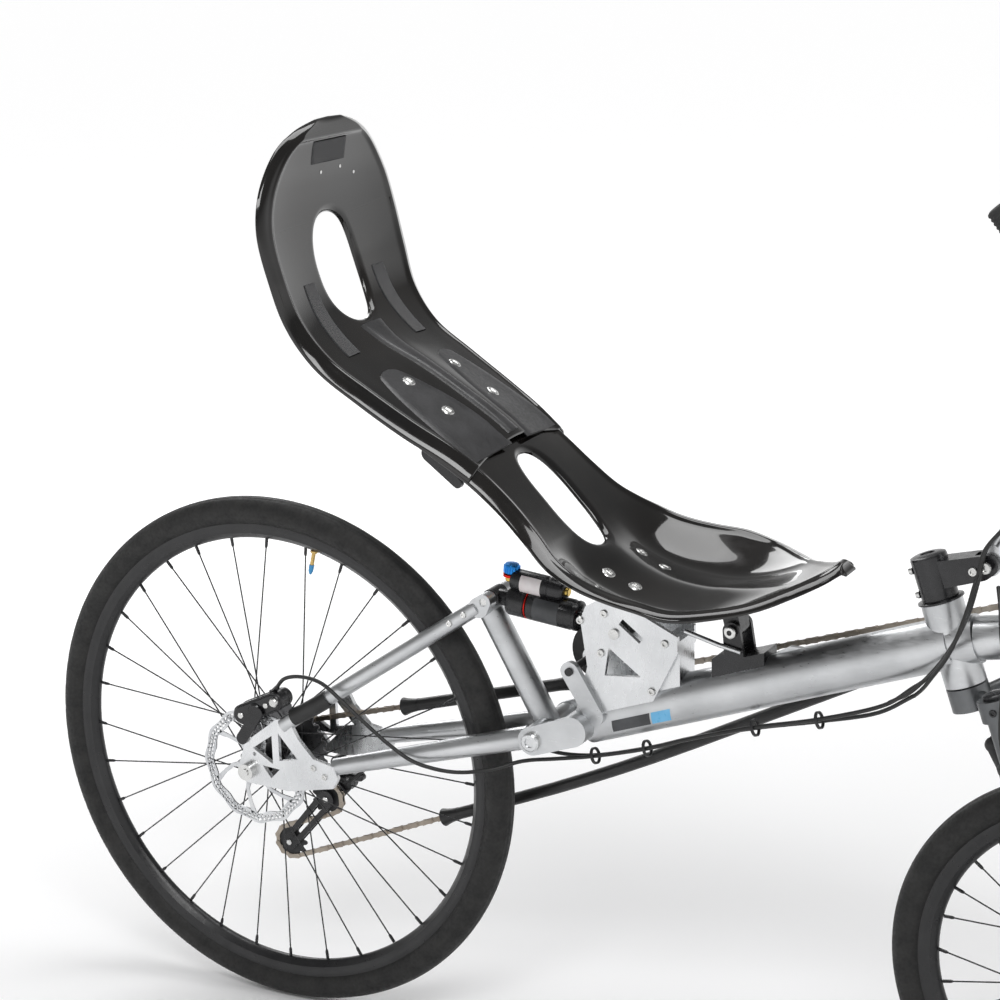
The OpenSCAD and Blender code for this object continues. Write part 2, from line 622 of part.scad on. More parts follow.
// ---- cranks
crank_y = 66;
crank_t = 12;
pedal_y = 86;
pedal_w = 96;
crank_dir = [1, 0];
right_axle = bb + crank_len * crank_dir;
left_axle = bb - crank_len * crank_dir;
module cranks() color("#1a1b1d") from_rider() {
    cross(bb, -crank_y, crank_y, 12);
    slab(crank_y, crank_y + crank_t) link(bb, 19, left_axle, 13);
    slab(-crank_y - crank_t, -crank_y) link(bb, 19, right_axle, 13);
    cross(left_axle, crank_y + crank_t, pedal_y + pedal_w - 6, 5);
    cross(right_axle, -pedal_y - pedal_w + 6, -crank_y - crank_t, 5);
}
module chainring() color("#232427") from_rider() {
    difference() {
        ring(bb, ring_r + 2, 12 + fit, chain_y - cog_t / 2, chain_y + cog_t / 2);
        for (i = [0 : 4]) cross(bb + 45 * [cos(72 * i), sin(72 * i)], 0, 100, 16);
    }
    ring(bb, 24, 12 + fit, chain_y + cog_t / 2, crank_y);
}
module pedal(p) difference() {
    slab(pedal_y, pedal_y + pedal_w) polygon([p + [-46, -12], p + [46, -12], p + [46, 12], p + [-46, 12]]);
    cross(p, 0, 300, 5 + fit);
    for (s = [-1, 1]) translate([p[0] + s * 28, pedal_y + pedal_w / 2, p[1]])
        cube([24, pedal_w - 28, 60], center = true);
}
module left_pedal() color("#202022") from_rider() pedal(left_axle);
module right_pedal() color("#202022") from_rider() mirror([0, 1, 0]) pedal(right_axle);

// ---- seat: rows of [x, z, half width, how far the edges stand above the middle]
back_rows = [[132, 1184, 30, 2], [127, 1172, 76, 3], [121, 1150, 112, 5], [116, 1110, 143, 9],
    [117, 1065, 157, 12], [128, 1010, 157, 14], [150, 960, 152, 8], [190, 920, 147, -2],
    [243, 889, 144, -8], [300, 855, 139, -10], [345, 826, 131, -8], [380, 798, 124, -5]];
pan_rows = [[318, 840, 124, -8], [350, 820, 124, -7], [385, 793, 123, -4], [420, 759, 124, 1],
    [450, 727, 132, 7], [482, 695, 152, 18], [515, 670, 161, 29], [555, 653, 169, 37], [600, 646, 175, 38],
    [645, 648, 168, 27], [690, 657, 131, 18], [733, 673, 82, 9], [765, 690, 42, 4], [784, 704, 18, 1],
    [795, 703, 14, 0]];
pan_under = shell_t + lap;
across = 12;
function row_normal(rows, i) = let(a = rows[max(i - 1, 0)], b = rows[min(i + 1, len(rows) - 1)],
    d = unit([b[0] - a[0], b[1] - a[1]])) [-d[1], d[0]];
function shell_point(rows, i, k, depth) = let(v = 2 * k / across - 1, n = row_normal(rows, i),
    c = [rows[i][0], rows[i][1]] + n * (rows[i][3] * v * v - depth))
    [c[0], rows[i][2] * seat_width * v, c[1]];
module shell(rows, top, bottom) {
    m = len(rows);
    w = across + 1;
    half = m * w;
    polyhedron(points = [for (depth = [top, bottom]) for (i = [0 : m - 1]) for (k = [0 : across])
            shell_point(rows, i, k, depth)],
        faces = concat(
            [for (i = [0 : m - 2]) for (k = [0 : across - 1]) each let(a = i * w + k, b = a + w)
                [[a, a + 1, b + 1], [a, b + 1, b]]],
            [for (i = [0 : m - 2]) for (k = [0 : across - 1]) each let(a = half + i * w + k, b = a + w)
                [[a, b + 1, a + 1], [a, b, b + 1]]],
            [for (i = [0 : m - 2]) each let(a = i * w, b = a + w)
                [[a, b, b + half], [a, b + half, a + half]]],
            [for (i = [0 : m - 2]) each let(a = i * w + across, b = a + w)
                [[a, b + half, b], [a, a + half, b + half]]],
            [for (k = [0 : across - 1]) each let(a = k, b = k + 1)
                [[a, b + half, b], [a, a + half, b + half]]],
            [for (k = [0 : across - 1]) each let(a = half - w + k, b = a + 1)
                [[a, b, b + half], [a, b + half, a + half]]]));
}
// Round-ended hole through a shell, from a to b on the side view
module long_hole(a, b, r) {
    d = b - a;
    translate([a[0], 0, a[1]]) rotate([0, -atan2(d[1], d[0]), 0]) translate([0, 0, -60]) linear_extrude(120)
        link([0, 0], r, [norm(d), 0], r);
}
module seat_back() color("#1d1e20") from_rider() difference() {
    shell(back_rows, 0, shell_t);
    long_hole([123, 1044], [146, 984], 46);
}
module seat_pan() color("#1d1e20") from_rider() difference() {
    shell(pan_rows, pan_under, pan_under + shell_t);
    long_hole([402, 768], [462, 708], 34);
}
strut_dir = unit(clamp_at - strut_foot);
strut_top = clamp_at + 34 * strut_dir;
// Clamp block under the back shell that the seat strut slides in
module seat_clamp() color("#17181a") from_rider() difference() {
    union() {
        rod(at(clamp_at - 14 * strut_dir), at(clamp_at + 14 * strut_dir), 17);
        both_sides() slab(12, 16.5) link(clamp_at, 14, [300, 832], 10);
        slab(-45, 45) polygon([[252, 877.4], [298, 849.9], [308, 843.4], [305, 838.2], [249, 871.7]]);
        cross(clamp_at, -36, -15, 5);
        slab(-42, -35) link(clamp_at, 10, clamp_at + [38, -34], 6);
    }
    rod(at(clamp_at - 40 * strut_dir), at(clamp_at + 40 * strut_dir), rod_d / 2 + clamp_play);
}
module seat_hinge_lug() color("#17181a") from_rider() difference() {
    union() {
        slab(-14, 14) link(seat_hinge, 10, [650, 628], 10);
        slab(-40, 40) polygon([[618, 637.9], [646, 639.3], [690, 647.9], [690, 638], [618, 630]]);
    }
    cross(seat_hinge, -50, 50, hinge_pin_r + fit);
}
module seat_strut() color("#b9bcc0") from_rider() difference() {
    union() {
        cross(strut_foot, -14, 14, 12);
        rod(at(strut_foot), at(strut_top), rod_d / 2);
    }
    cross(strut_foot, -50, 50, 4 + fit);
}

frame();
boom();
chainstays();
seatstays();
swingarm_strut();
rear_dropouts();
rear_axle();
pivot_bolt();
shock_body();
shock_shaft();
seat_bracket();
front_seat_mount();
idler();
chain_upper_run();
chain_lower_run();
chain_tubes();
rear_derailleur();
rear_caliper();
rear_brake_hose();
shift_cable();
rear_tyre();
rear_rim();
rear_spokes();
rear_hub();
cassette();
rear_disc();
fork_crown();
fork_lowers();
front_axle();
stem();
front_caliper();
front_brake_hose();
front_tyre();
front_rim();
front_spokes();
front_hub();
front_disc();
handlebar_mast();
handlebar();
grips();
brake_levers();
cranks();
chainring();
right_pedal();
left_pedal();
seat_back();
seat_pan();
seat_clamp();
seat_hinge_lug();
seat_strut();
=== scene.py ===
import json
import bmesh
import bpy
import numpy as np
from mathutils import Matrix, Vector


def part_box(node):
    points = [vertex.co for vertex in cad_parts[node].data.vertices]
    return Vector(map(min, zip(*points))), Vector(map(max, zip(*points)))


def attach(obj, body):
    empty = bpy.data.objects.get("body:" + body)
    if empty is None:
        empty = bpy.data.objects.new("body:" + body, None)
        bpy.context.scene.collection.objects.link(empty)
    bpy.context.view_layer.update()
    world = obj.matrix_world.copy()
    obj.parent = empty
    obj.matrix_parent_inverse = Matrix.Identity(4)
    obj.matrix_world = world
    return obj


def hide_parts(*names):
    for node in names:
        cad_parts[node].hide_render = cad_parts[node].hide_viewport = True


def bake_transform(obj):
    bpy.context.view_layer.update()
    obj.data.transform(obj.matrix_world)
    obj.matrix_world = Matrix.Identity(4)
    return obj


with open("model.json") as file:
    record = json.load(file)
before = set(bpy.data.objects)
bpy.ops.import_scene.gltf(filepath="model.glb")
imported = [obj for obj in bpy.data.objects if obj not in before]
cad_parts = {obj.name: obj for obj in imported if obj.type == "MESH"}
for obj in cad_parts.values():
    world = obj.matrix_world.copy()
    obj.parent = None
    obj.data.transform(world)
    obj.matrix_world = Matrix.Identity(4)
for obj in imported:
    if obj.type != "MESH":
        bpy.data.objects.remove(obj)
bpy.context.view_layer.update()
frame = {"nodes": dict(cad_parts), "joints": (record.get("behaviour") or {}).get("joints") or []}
scene = bpy.context.scene
joints = {j["name"]: np.array(j["pos_m"]) for j in frame["joints"]}

mm = 0.001
tyreRadius = (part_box("rear_tyre")[1].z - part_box("rear_tyre")[0].z) / 2
base = joints["rear_wheel_spin"] - np.array([0, 0, tyreRadius])  # on the ground below the rear axle


def place(x, y, z):
    # a point given in mm from the ground below the rear axle, in the row frame
    return base + np.array([x, y, z]) * mm


def places(points):
    # the same for a list of points
    return base + np.asarray(points, float) * mm


def unit(v):
    # each row divided by its own length
    v = np.asarray(v, float)
    return v / np.linalg.norm(v, axis=-1, keepdims=True)


# a shape is its points and a list of face arrays

def gridFaces(rows, cols, loopRows=False, loopCols=False):
    # every cell of a grid of points is one four-sided face
    i, j = np.meshgrid(np.arange(rows if loopRows else rows - 1), np.arange(cols if loopCols else cols - 1),
                       indexing="ij")
    nextI, nextJ = (i + 1) % rows, (j + 1) % cols
    return np.stack([i * cols + j, nextI * cols + j, nextI * cols + nextJ, i * cols + nextJ],
                    -1).reshape(-1, 4)


def sheetShape(points, loopRows=False, loopCols=False):
    # a rows x cols x 3 array of points as one surface
    rows, cols = points.shape[:2]
    return points.reshape(-1, 3), [gridFaces(rows, cols, loopRows, loopCols)]


def joined(shapes):
    # points end to end, face numbers moved up by the points before them
    starts = np.cumsum([0] + [len(s[0]) for s in shapes[:-1]])
    return np.concatenate([s[0] for s in shapes]), [f + k for s, k in zip(shapes, starts) for f in s[1]]


def framesAt(origin, forward, up):
    # 4x4 frames: first axis forward, second sideways, third the part of up that is square to forward
    origin, forward, up = np.broadcast_arrays(np.atleast_2d(origin), np.atleast_2d(forward),
                                              np.atleast_2d(up))
    f = unit(forward)
    side = unit(np.cross(up, f))
    m = np.zeros((len(f), 4, 4))
    m[:, :3, 0], m[:, :3, 1], m[:, :3, 2] = f, side, np.cross(f, side)
    m[:, :3, 3], m[:, 3, 3] = origin, 1
    return m


def repeated(shape, frames):
    # the shape at every frame: point = frame turned and moved onto the point
    points, faces = shape
    moved = np.einsum("kij,nj->kni", frames[:, :3, :3], points) + frames[:, None, :3, 3]
    shift = (np.arange(len(frames)) * len(points))[:, None, None]
    return moved.reshape(-1, 3), [(f[None] + shift).reshape(-1, f.shape[1]) for f in faces]


def smoothPath(points, count):
    # a curve through the points (cubic between neighbours), resampled to count even steps
    p = np.asarray(points, float)
    p = np.concatenate([2 * p[:1] - p[1:2], p, 2 * p[-1:] - p[-2:-1]])
    s = np.linspace(0, len(p) - 3 - 1e-6, 400)
    k = s.astype(int)
    f = (s - k)[:, None]
    a, b, c, d = p[k], p[k + 1], p[k + 2], p[k + 3]
    fine = 0.5 * (2 * b + (c - a) * f + (2 * a - 5 * b + 4 * c - d) * f ** 2
                  + (3 * b - a - 3 * c + d) * f ** 3)
    run = np.concatenate([[0], np.cumsum(np.linalg.norm(np.diff(fine, axis=0), axis=1))])
    even = np.linspace(0, run[-1], count)
    return np.stack([np.interp(even, run, fine[:, i]) for i in range(fine.shape[1])], 1)


def rounded(points, radius, steps=5, loop=True):
    # each corner replaced by a curve: point = (1-t)^2 start + 2t(1-t) corner + t^2 end
    p = np.asarray(points, float)
    before, after = np.roll(p, 1, 0) - p, np.roll(p, -1, 0) - p
    reach = [np.minimum(radius, 0.45 * np.linalg.norm(v, axis=1))[:, None] for v in (before, after)]
    start, end = p + unit(before) * reach[0], p + unit(after) * reach[1]
    t = np.linspace(0, 1, steps)[None, :, None]
    curve = (1 - t) ** 2 * start[:, None] + 2 * t * (1 - t) * p[:, None] + t ** 2 * end[:, None]
    if not loop:
        curve[0], curve[-1] = p[0], p[-1]
    return curve.reshape(-1, p.shape[1])


def linkOutline(a, radiusA, b, radiusB, count=16):
    # two arcs and the straight sides that touch both circles, as (x, z) points
    a, b = np.asarray(a, float), np.asarray(b, float)
    d = b - a
    turn, opening = np.arctan2(d[1], d[0]), np.arccos((radiusA - radiusB) / np.hypot(*d))
    first = np.linspace(turn + opening, turn + 2 * np.pi - opening, count)
    second = np.linspace(turn - opening, turn + opening, count)
    return np.concatenate([a + radiusA * np.stack([np.cos(first), np.sin(first)], 1),
                           b + radiusB * np.stack([np.cos(second), np.sin(second)], 1)])


def bar(path, wide, high=None, up=(0.31, 0.9, 0.11), square=1.0, sides=16):
    # a rounded section carried along a path: centre + wide c^q side + high s^q lift, with c, s = cos, sin
    # of the turn and q the square power; the ends are drawn in to a point
    path = np.asarray(path, float)
    along = unit(np.gradient(path, axis=0))
    side = unit(np.cross(up, along))
    lift = np.cross(along, side)
    turn = np.linspace(0, 2 * np.pi, sides, endpoint=False) + np.pi / sides
    c, s = [np.sign(w) * np.abs(w) ** square for w in (np.cos(turn), np.sin(turn))]
    wide = np.broadcast_to(np.asarray(wide, float), len(path))
    high = wide if high is None else np.broadcast_to(np.asarray(high, float), len(path))
    rings = path[:, None] + c[:, None] * side[:, None] * wide[:, None, None] \
        + s[:, None] * lift[:, None] * high[:, None, None]
    ends = [np.broadcast_to(p, (1, sides, 3)) for p in (path[0], path[-1])]
    return sheetShape(np.concatenate([ends[0], rings, ends[1]]), loopCols=True)


def turned(profile, centre, axis=(0, 1, 0), sides=64, loop=False):
    # (radius, height) pairs carried round an axis: centre + height axis + radius (cos, sin); an open
    # profile is drawn in to the axis at both ends
    profile = np.asarray(profile, float)
    if not loop:
        profile = np.concatenate([[[0, profile[0, 1]]], profile, [[0, profile[-1, 1]]]])
    axis = unit(axis)
    a = unit(np.cross(axis, (0.12, 0.05, 1) if abs(axis[2]) < 0.9 else (1, 0.05, 0.1)))
    turn = np.linspace(0, 2 * np.pi, sides, endpoint=False)
    ring = np.cos(turn)[:, None] * a + np.sin(turn)[:, None] * np.cross(axis, a)
    points = np.asarray(centre) + profile[:, 1, None, None] * axis + profile[:, 0, None, None] * ring[None]
    return sheetShape(points, loopRows=loop, loopCols=True)


def plate(outline, y0, y1, bevel=0.5):
    # an (x, z) outline in mm given thickness from y0 to y1, its edges drawn in by the bevel
    o = np.asarray(outline, float)
    x, z = o.T
    if np.sum(x * np.roll(z, -1) - np.roll(x, -1) * z) < 0:
        o = o[::-1]
    along = unit(np.roll(o, -1, 0) - np.roll(o, 1, 0))
    inner = o - np.stack([along[:, 1], -along[:, 0]], 1) * bevel
    levels = ((inner, y0), (o, y0 + bevel), (o, y1 - bevel), (inner, y1))
    points = np.stack([np.stack([p[:, 0], np.full(len(o), y), p[:, 1]], 1) for p, y in levels])
    n = len(o)
    ends = [np.arange(n)[None, ::-1], 3 * n + np.arange(n)[None]]
    return places(points.reshape(-1, 3)), [gridFaces(4, n, loopCols=True)] + ends


def ringPlate(outer, inner, y0, y1):
    # the band between two (x, z) outlines of equal length, from y0 to y1
    corners = ((outer, y0), (outer, y1), (inner, y1), (inner, y0))
    points = np.stack([np.stack([p[:, 0], np.full(len(p), y), p[:, 1]], 1) for p, y in corners])
    return sheetShape(places(points), loopRows=True, loopCols=True)


def circle(centre, radius, count=96, phase=0.0):
    # radius may be a number or one value for each of the count points
    turn = np.linspace(0, 2 * np.pi, count, endpoint=False) + phase
    return np.asarray(centre) + np.reshape(radius, (-1, 1)) * np.stack([np.cos(turn), np.sin(turn)], 1)


def screw(centre, axis, radius, height=None, socket=0.5, sides=20):
    # a domed head with a hollow socket in its face, sunk a little in its seat
    h = radius * 0.6 if height is None else height
    profile = [(radius, -0.3 * h), (radius, 0.55 * h), (radius * 0.86, h), (radius * socket, h),
               (radius * socket * 0.9, 0.35 * h)]
    return turned(profile, centre, axis, sides)


def piece(name, shapes, finish, body, replaced=(), crease=32):
    # one mesh from the shapes: points that coincide merge, faces turn outwards, sharp folds stay crisp
    points, faces = joined(shapes)
    mesh = bpy.data.meshes.new(name)
    mesh.from_pydata(points.tolist(), [], [row for f in faces for row in f.tolist()])
    work = bmesh.new()
    work.from_mesh(mesh)
    bmesh.ops.remove_doubles(work, verts=work.verts, dist=2e-6)
    bmesh.ops.recalc_face_normals(work, faces=work.faces)
    work.to_mesh(mesh)
    work.free()
    mesh.shade_smooth()
    mesh.set_sharp_from_angle(angle=np.radians(crease))
    mesh.materials.append(finish["material"])
    obj = bpy.data.objects.new(name, mesh)
    scene.collection.objects.link(obj)
    if body:
        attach(obj, body)
    if replaced:
        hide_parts(*replaced)
    return obj


def paint(finish, *nodes):
    # a new finish on CAD nodes that keep their shape
    for node in nodes:
        obj = frame["nodes"][node]
        if not obj.material_slots:
            obj.data.materials.append(finish["material"])
        for slot in obj.material_slots:
            slot.material = finish["material"]


def newMaterial(name, slot, sockets):
    # a named material of one look slot, with its plain values set
    material = bpy.data.materials.new(name)
    material.use_nodes = True
    tree = material.node_tree
    shader = tree.nodes["Principled BSDF"]
    for socket, value in sockets.items():
        shader.inputs[socket].default_value = value
    return dict(material=material, slot=slot, tree=tree, shader=shader)


def addNode(tree, kind, inputs=None, **settings):
    # a new node; each input takes a link if it is given a socket, else a value
    node = tree.nodes.new(kind)
    for key, value in settings.items():
        setattr(node, key, value)
    for key, value in (inputs or {}).items():
        if isinstance(value, bpy.types.NodeSocket):
            tree.links.new(value, node.inputs[key])
        else:
            node.inputs[key].default_value = value
    return node


def noise(finish, scale, stretch=(1, 1, 1), turn=(0, 0, 0), detail=5.0, centre=(0, 0, 0)):
    # a cloud pattern on the object's own coordinates, drawn out along some axes
    tree = finish["tree"]
    where = addNode(tree, "ShaderNodeTexCoord").outputs["Object"]
    mapped = addNode(tree, "ShaderNodeMapping", {"Vector": where, "Location": centre, "Rotation": turn,
                                                 "Scale": stretch})
    return addNode(tree, "ShaderNodeTexNoise", {"Vector": mapped.outputs[0], "Scale": scale,
                                                "Detail": detail}).outputs["Fac"]


def spread(finish, source, socket, low, high, start=0.3, end=0.7):
    # the pattern's values from start to end become low to high on a socket
    ranged = addNode(finish["tree"], "ShaderNodeMapRange", {"Value": source, "From Min": start,
                                                            "From Max": end, "To Min": low,
                                                            "To Max": high})
    finish["tree"].links.new(ranged.outputs[0], finish["shader"].inputs[socket])


def tint(finish, source, colours, start=0.35, end=0.65):
    # the pattern turns one colour into the other
    ramp = addNode(finish["tree"], "ShaderNodeValToRGB", {"Fac": source})
    for element, position, colour in zip(ramp.color_ramp.elements, (start, end), colours):
        element.position, element.color = position, (*colour, 1)
    finish["tree"].links.new(ramp.outputs["Color"], finish["shader"].inputs["Base Color"])


def relief(finish, source, strength, distance, below=None):
    # the pattern raises the surface; below is a relief that it lies on
    inputs = {"Height": source, "Strength": strength, "Distance": distance}
    if below is not None:
        inputs["Normal"] = below
    out = addNode(finish["tree"], "ShaderNodeBump", inputs).outputs["Normal"]
    finish["tree"].links.new(out, finish["shader"].inputs["Normal"])
    return out


def metal(name, slot, colours, rough, grain=900, stretch=(1, 1, 1), lift=0.08, turn=(0, 0, 0)):
    # bare or plated metal: clouded colour, uneven polish, fine drawn-out scratches
    finish = newMaterial(name, slot, {"Metallic": 1.0})
    clouds = noise(finish, 14)
    tint(finish, clouds, colours, 0.3, 0.7)
    spread(finish, noise(finish, grain * 0.4, stretch, turn), "Roughness", *rough)
    relief(finish, noise(finish, grain, stretch, turn, detail=3), lift, 0.0006)
    return finish


def dark(name, slot, colours, rough, grain=1400, lift=0.04, sockets=None):
    # painted, anodised or moulded black: fine grain in the surface and soft wear in the sheen
    finish = newMaterial(name, slot, sockets or {})
    tint(finish, noise(finish, 30), colours)
    spread(finish, noise(finish, 160), "Roughness", *rough)
    relief(finish, noise(finish, grain, detail=3), lift, 0.0004)
    return finish


silver = metal("bareAluminium", "bare_aluminium", ((0.50, 0.51, 0.52), (0.66, 0.67, 0.68)), (0.27, 0.43),
               grain=1100, stretch=(0.12, 1, 1), lift=0.10)
silverPlate = metal("machinedAluminium", "polished_aluminium", ((0.60, 0.61, 0.62), (0.76, 0.77, 0.78)),
                    (0.22, 0.34), grain=420, stretch=(1, 1, 0.25), lift=0.015)
chrome = metal("chrome", "chrome", ((0.72, 0.73, 0.74), (0.82, 0.82, 0.83)), (0.05, 0.14), lift=0.02)
zinc = metal("screwZinc", "polished_aluminium", ((0.55, 0.55, 0.54), (0.78, 0.78, 0.77)), (0.16, 0.34),
             lift=0.06)
crownGrey = metal("crownGrey", "grey_metal", ((0.13, 0.135, 0.14), (0.19, 0.195, 0.20)), (0.30, 0.46),
                  lift=0.08)
chainMetal = metal("chainMetal", "chain_steel", ((0.26, 0.22, 0.18), (0.46, 0.41, 0.35)), (0.26, 0.42),
                   lift=0.04)
cogMetal = metal("cogMetal", "chain_steel", ((0.07, 0.07, 0.072), (0.17, 0.17, 0.175)), (0.25, 0.42),
                 lift=0.08)
brass = metal("brass", "chain_steel", ((0.55, 0.38, 0.14), (0.68, 0.50, 0.22)), (0.2, 0.34), lift=0.05)
gold = metal("goldAnodised", "chrome", ((0.60, 0.42, 0.10), (0.72, 0.52, 0.16)), (0.2, 0.3), lift=0.04)
blue = metal("blueAnodised", "black_anodised", ((0.02, 0.19, 0.55), (0.04, 0.28, 0.72)), (0.22, 0.34),
             lift=0.05)
red = metal("redAnodised", "black_anodised", ((0.52, 0.015, 0.01), (0.68, 0.03, 0.02)), (0.2, 0.32),
            lift=0.05)
anodised = dark("blackAnodised", "black_anodised", ((0.006, 0.006, 0.007), (0.016, 0.016, 0.018)),
                (0.2, 0.34), sockets={"Specular IOR Level": 0.7, "Metallic": 0.25})
plastic = dark("blackPlastic", "black_plastic", ((0.010, 0.010, 0.011), (0.022, 0.022, 0.023)), (0.42, 0.58),
               grain=2200, lift=0.25)
rimBlack = dark("rimBlack", "black_wheel", ((0.007, 0.007, 0.008), (0.014, 0.014, 0.015)), (0.26, 0.38))
hoseBlack = dark("hoseBlack", "rubber", ((0.008, 0.008, 0.008), (0.016, 0.016, 0.016)), (0.34, 0.46),
                 lift=0.08)
rubber = dark("gripRubber", "rubber", ((0.012, 0.012, 0.012), (0.026, 0.026, 0.027)), (0.62, 0.8), grain=2600,
              lift=0.4)
labelWhite = dark("blankLabel", "black_plastic", ((0.60, 0.52, 0.53), (0.78, 0.75, 0.75)), (0.3, 0.4),
                  lift=0.02)
stickerBlue = dark("blueSticker", "black_plastic", ((0.12, 0.42, 0.70), (0.20, 0.52, 0.80)),
                   (0.25, 0.35), lift=0.02)
capBlue = dark("blueCap", "black_plastic", ((0.03, 0.22, 0.48), (0.06, 0.32, 0.62)), (0.35, 0.45), lift=0.05)
stickerDark = dark("darkSticker", "black_plastic", ((0.035, 0.037, 0.04), (0.07, 0.073, 0.078)),
                   (0.3, 0.4), lift=0.02)


def makeTyreRubber():
    # clouded black rubber: a drawn-out thread grain with a finer one on it
    finish = newMaterial("tyreRubber", "tyre", {"Specular IOR Level": 0.4})
    tint(finish, noise(finish, 45), ((0.007, 0.007, 0.007), (0.017, 0.0165, 0.016)))
    spread(finish, noise(finish, 240), "Roughness", 0.5, 0.72)
    threads = relief(finish, noise(finish, 900, (1, 0.15, 1), detail=2), 0.25, 0.0005)
    relief(finish, noise(finish, 2600, detail=2), 0.2, 0.0003, threads)
    return finish


def makeDiscSteel():
    # stainless steel with a fine ground grain
    finish = newMaterial("discSteel", "brushed_steel", {"Metallic": 1.0})
    tint(finish, noise(finish, 40), ((0.52, 0.53, 0.55), (0.70, 0.71, 0.72)))
    spread(finish, noise(finish, 500), "Roughness", 0.22, 0.36)
    relief(finish, noise(finish, 1600, (1, 0.2, 1), detail=2), 0.12, 0.0003)
    return finish


def makeShellGloss():
    # black gel coat over glass fibre: deep gloss, a faint long ripple, and a trace of brown in the depth
    finish = newMaterial("shellGloss", "glossy_shell", {"Coat Weight": 1.0, "Coat Roughness": 0.025,
                                                        "Specular IOR Level": 0.25, "Coat IOR": 1.45})
    tint(finish, noise(finish, 9, detail=8), ((0.0035, 0.0033, 0.0032), (0.0095, 0.0082, 0.0072)))
    spread(finish, noise(finish, 70), "Roughness", 0.10, 0.2)
    ripple = relief(finish, noise(finish, 22, detail=1), 0.05, 0.004)
    relief(finish, noise(finish, 260, detail=2), 0.02, 0.001, ripple)
    return finish


def makeShellGrained():
    # the same shell with its moulded grain, on the strips that a pad covers
    finish = newMaterial("shellGrained", "glossy_shell", {"Coat Weight": 0.35, "Coat Roughness": 0.22})
    tint(finish, noise(finish, 30, detail=8), ((0.012, 0.012, 0.013), (0.030, 0.030, 0.032)))
    spread(finish, noise(finish, 200), "Roughness", 0.34, 0.5)
    relief(finish, noise(finish, 1300, detail=3), 0.3, 0.0006)
    return finish


def makeHookTape():
    # hook tape: dense stubble on a dark band, with no gloss
    finish = newMaterial("hookTape", "rubber", {"Specular IOR Level": 0.15, "Sheen Weight": 0.3})
    tint(finish, noise(finish, 900, detail=2), ((0.012, 0.012, 0.013), (0.055, 0.055, 0.058)), 0.4, 0.6)
    spread(finish, noise(finish, 900), "Roughness", 0.85, 1.0)
    relief(finish, noise(finish, 1800, detail=1), 0.9, 0.0012)
    return finish


tyreRubber, discSteel = makeTyreRubber(), makeDiscSteel()
shellGloss, shellGrained, hookTape = makeShellGloss(), makeShellGrained(), makeHookTape()
print("finishes made")

# camera, floor and light
view = dict(azimuth=28.34, height=14.87, target=place(343.76, 0, 728.66), distance=2.9048, lens=85.75,
            roll=-1.82)


def makeCamera():
    # the camera looks at the target from the distance, rolled about its own line of sight
    azimuth, height, roll = np.radians([view["azimuth"], view["height"], view["roll"]])
    back = np.array([np.sin(azimuth) * np.cos(height), -np.cos(azimuth) * np.cos(height), np.sin(height)])
    right = unit(np.cross((0, 0, 1), back))
    up = np.cross(back, right)
    c, s = np.cos(roll), np.sin(roll)
    where = view["target"] + view["distance"] * back
    matrix = Matrix.Identity(4)
    for column, axis in enumerate((right * c + up * s, up * c - right * s, back, where)):
        for row in range(3):
            matrix[row][column] = axis[row]
    camera = bpy.data.objects.new("camera", bpy.data.cameras.new("camera"))
    camera.data.lens, camera.data.sensor_width = view["lens"], 36
    camera.matrix_world = matrix
    scene.collection.objects.link(camera)
    scene.camera = camera


# the floor's glow is painted light: its emission strength, rising over the glowFrom distances in metres
studio = dict(floorSize=60.0, floor=(0.93, 0.93, 0.935), paintedGlow=(0.0, 0.72), glowFrom=(0.9, 4.2),
              skyAt=(0.14, 0.4), sky=(1.0, 0.22), worldStrength=1.0,
              lights=[("keyLight", (1.2, -2.8, 3.2), (3.0, 1.2), 85),
                      ("topLight", (-0.4, 0.5, 3.4), (3.2, 1.6), 70),
                      ("backLight", (-2.6, 2.4, 2.0), (1.2, 2.4), 40)])


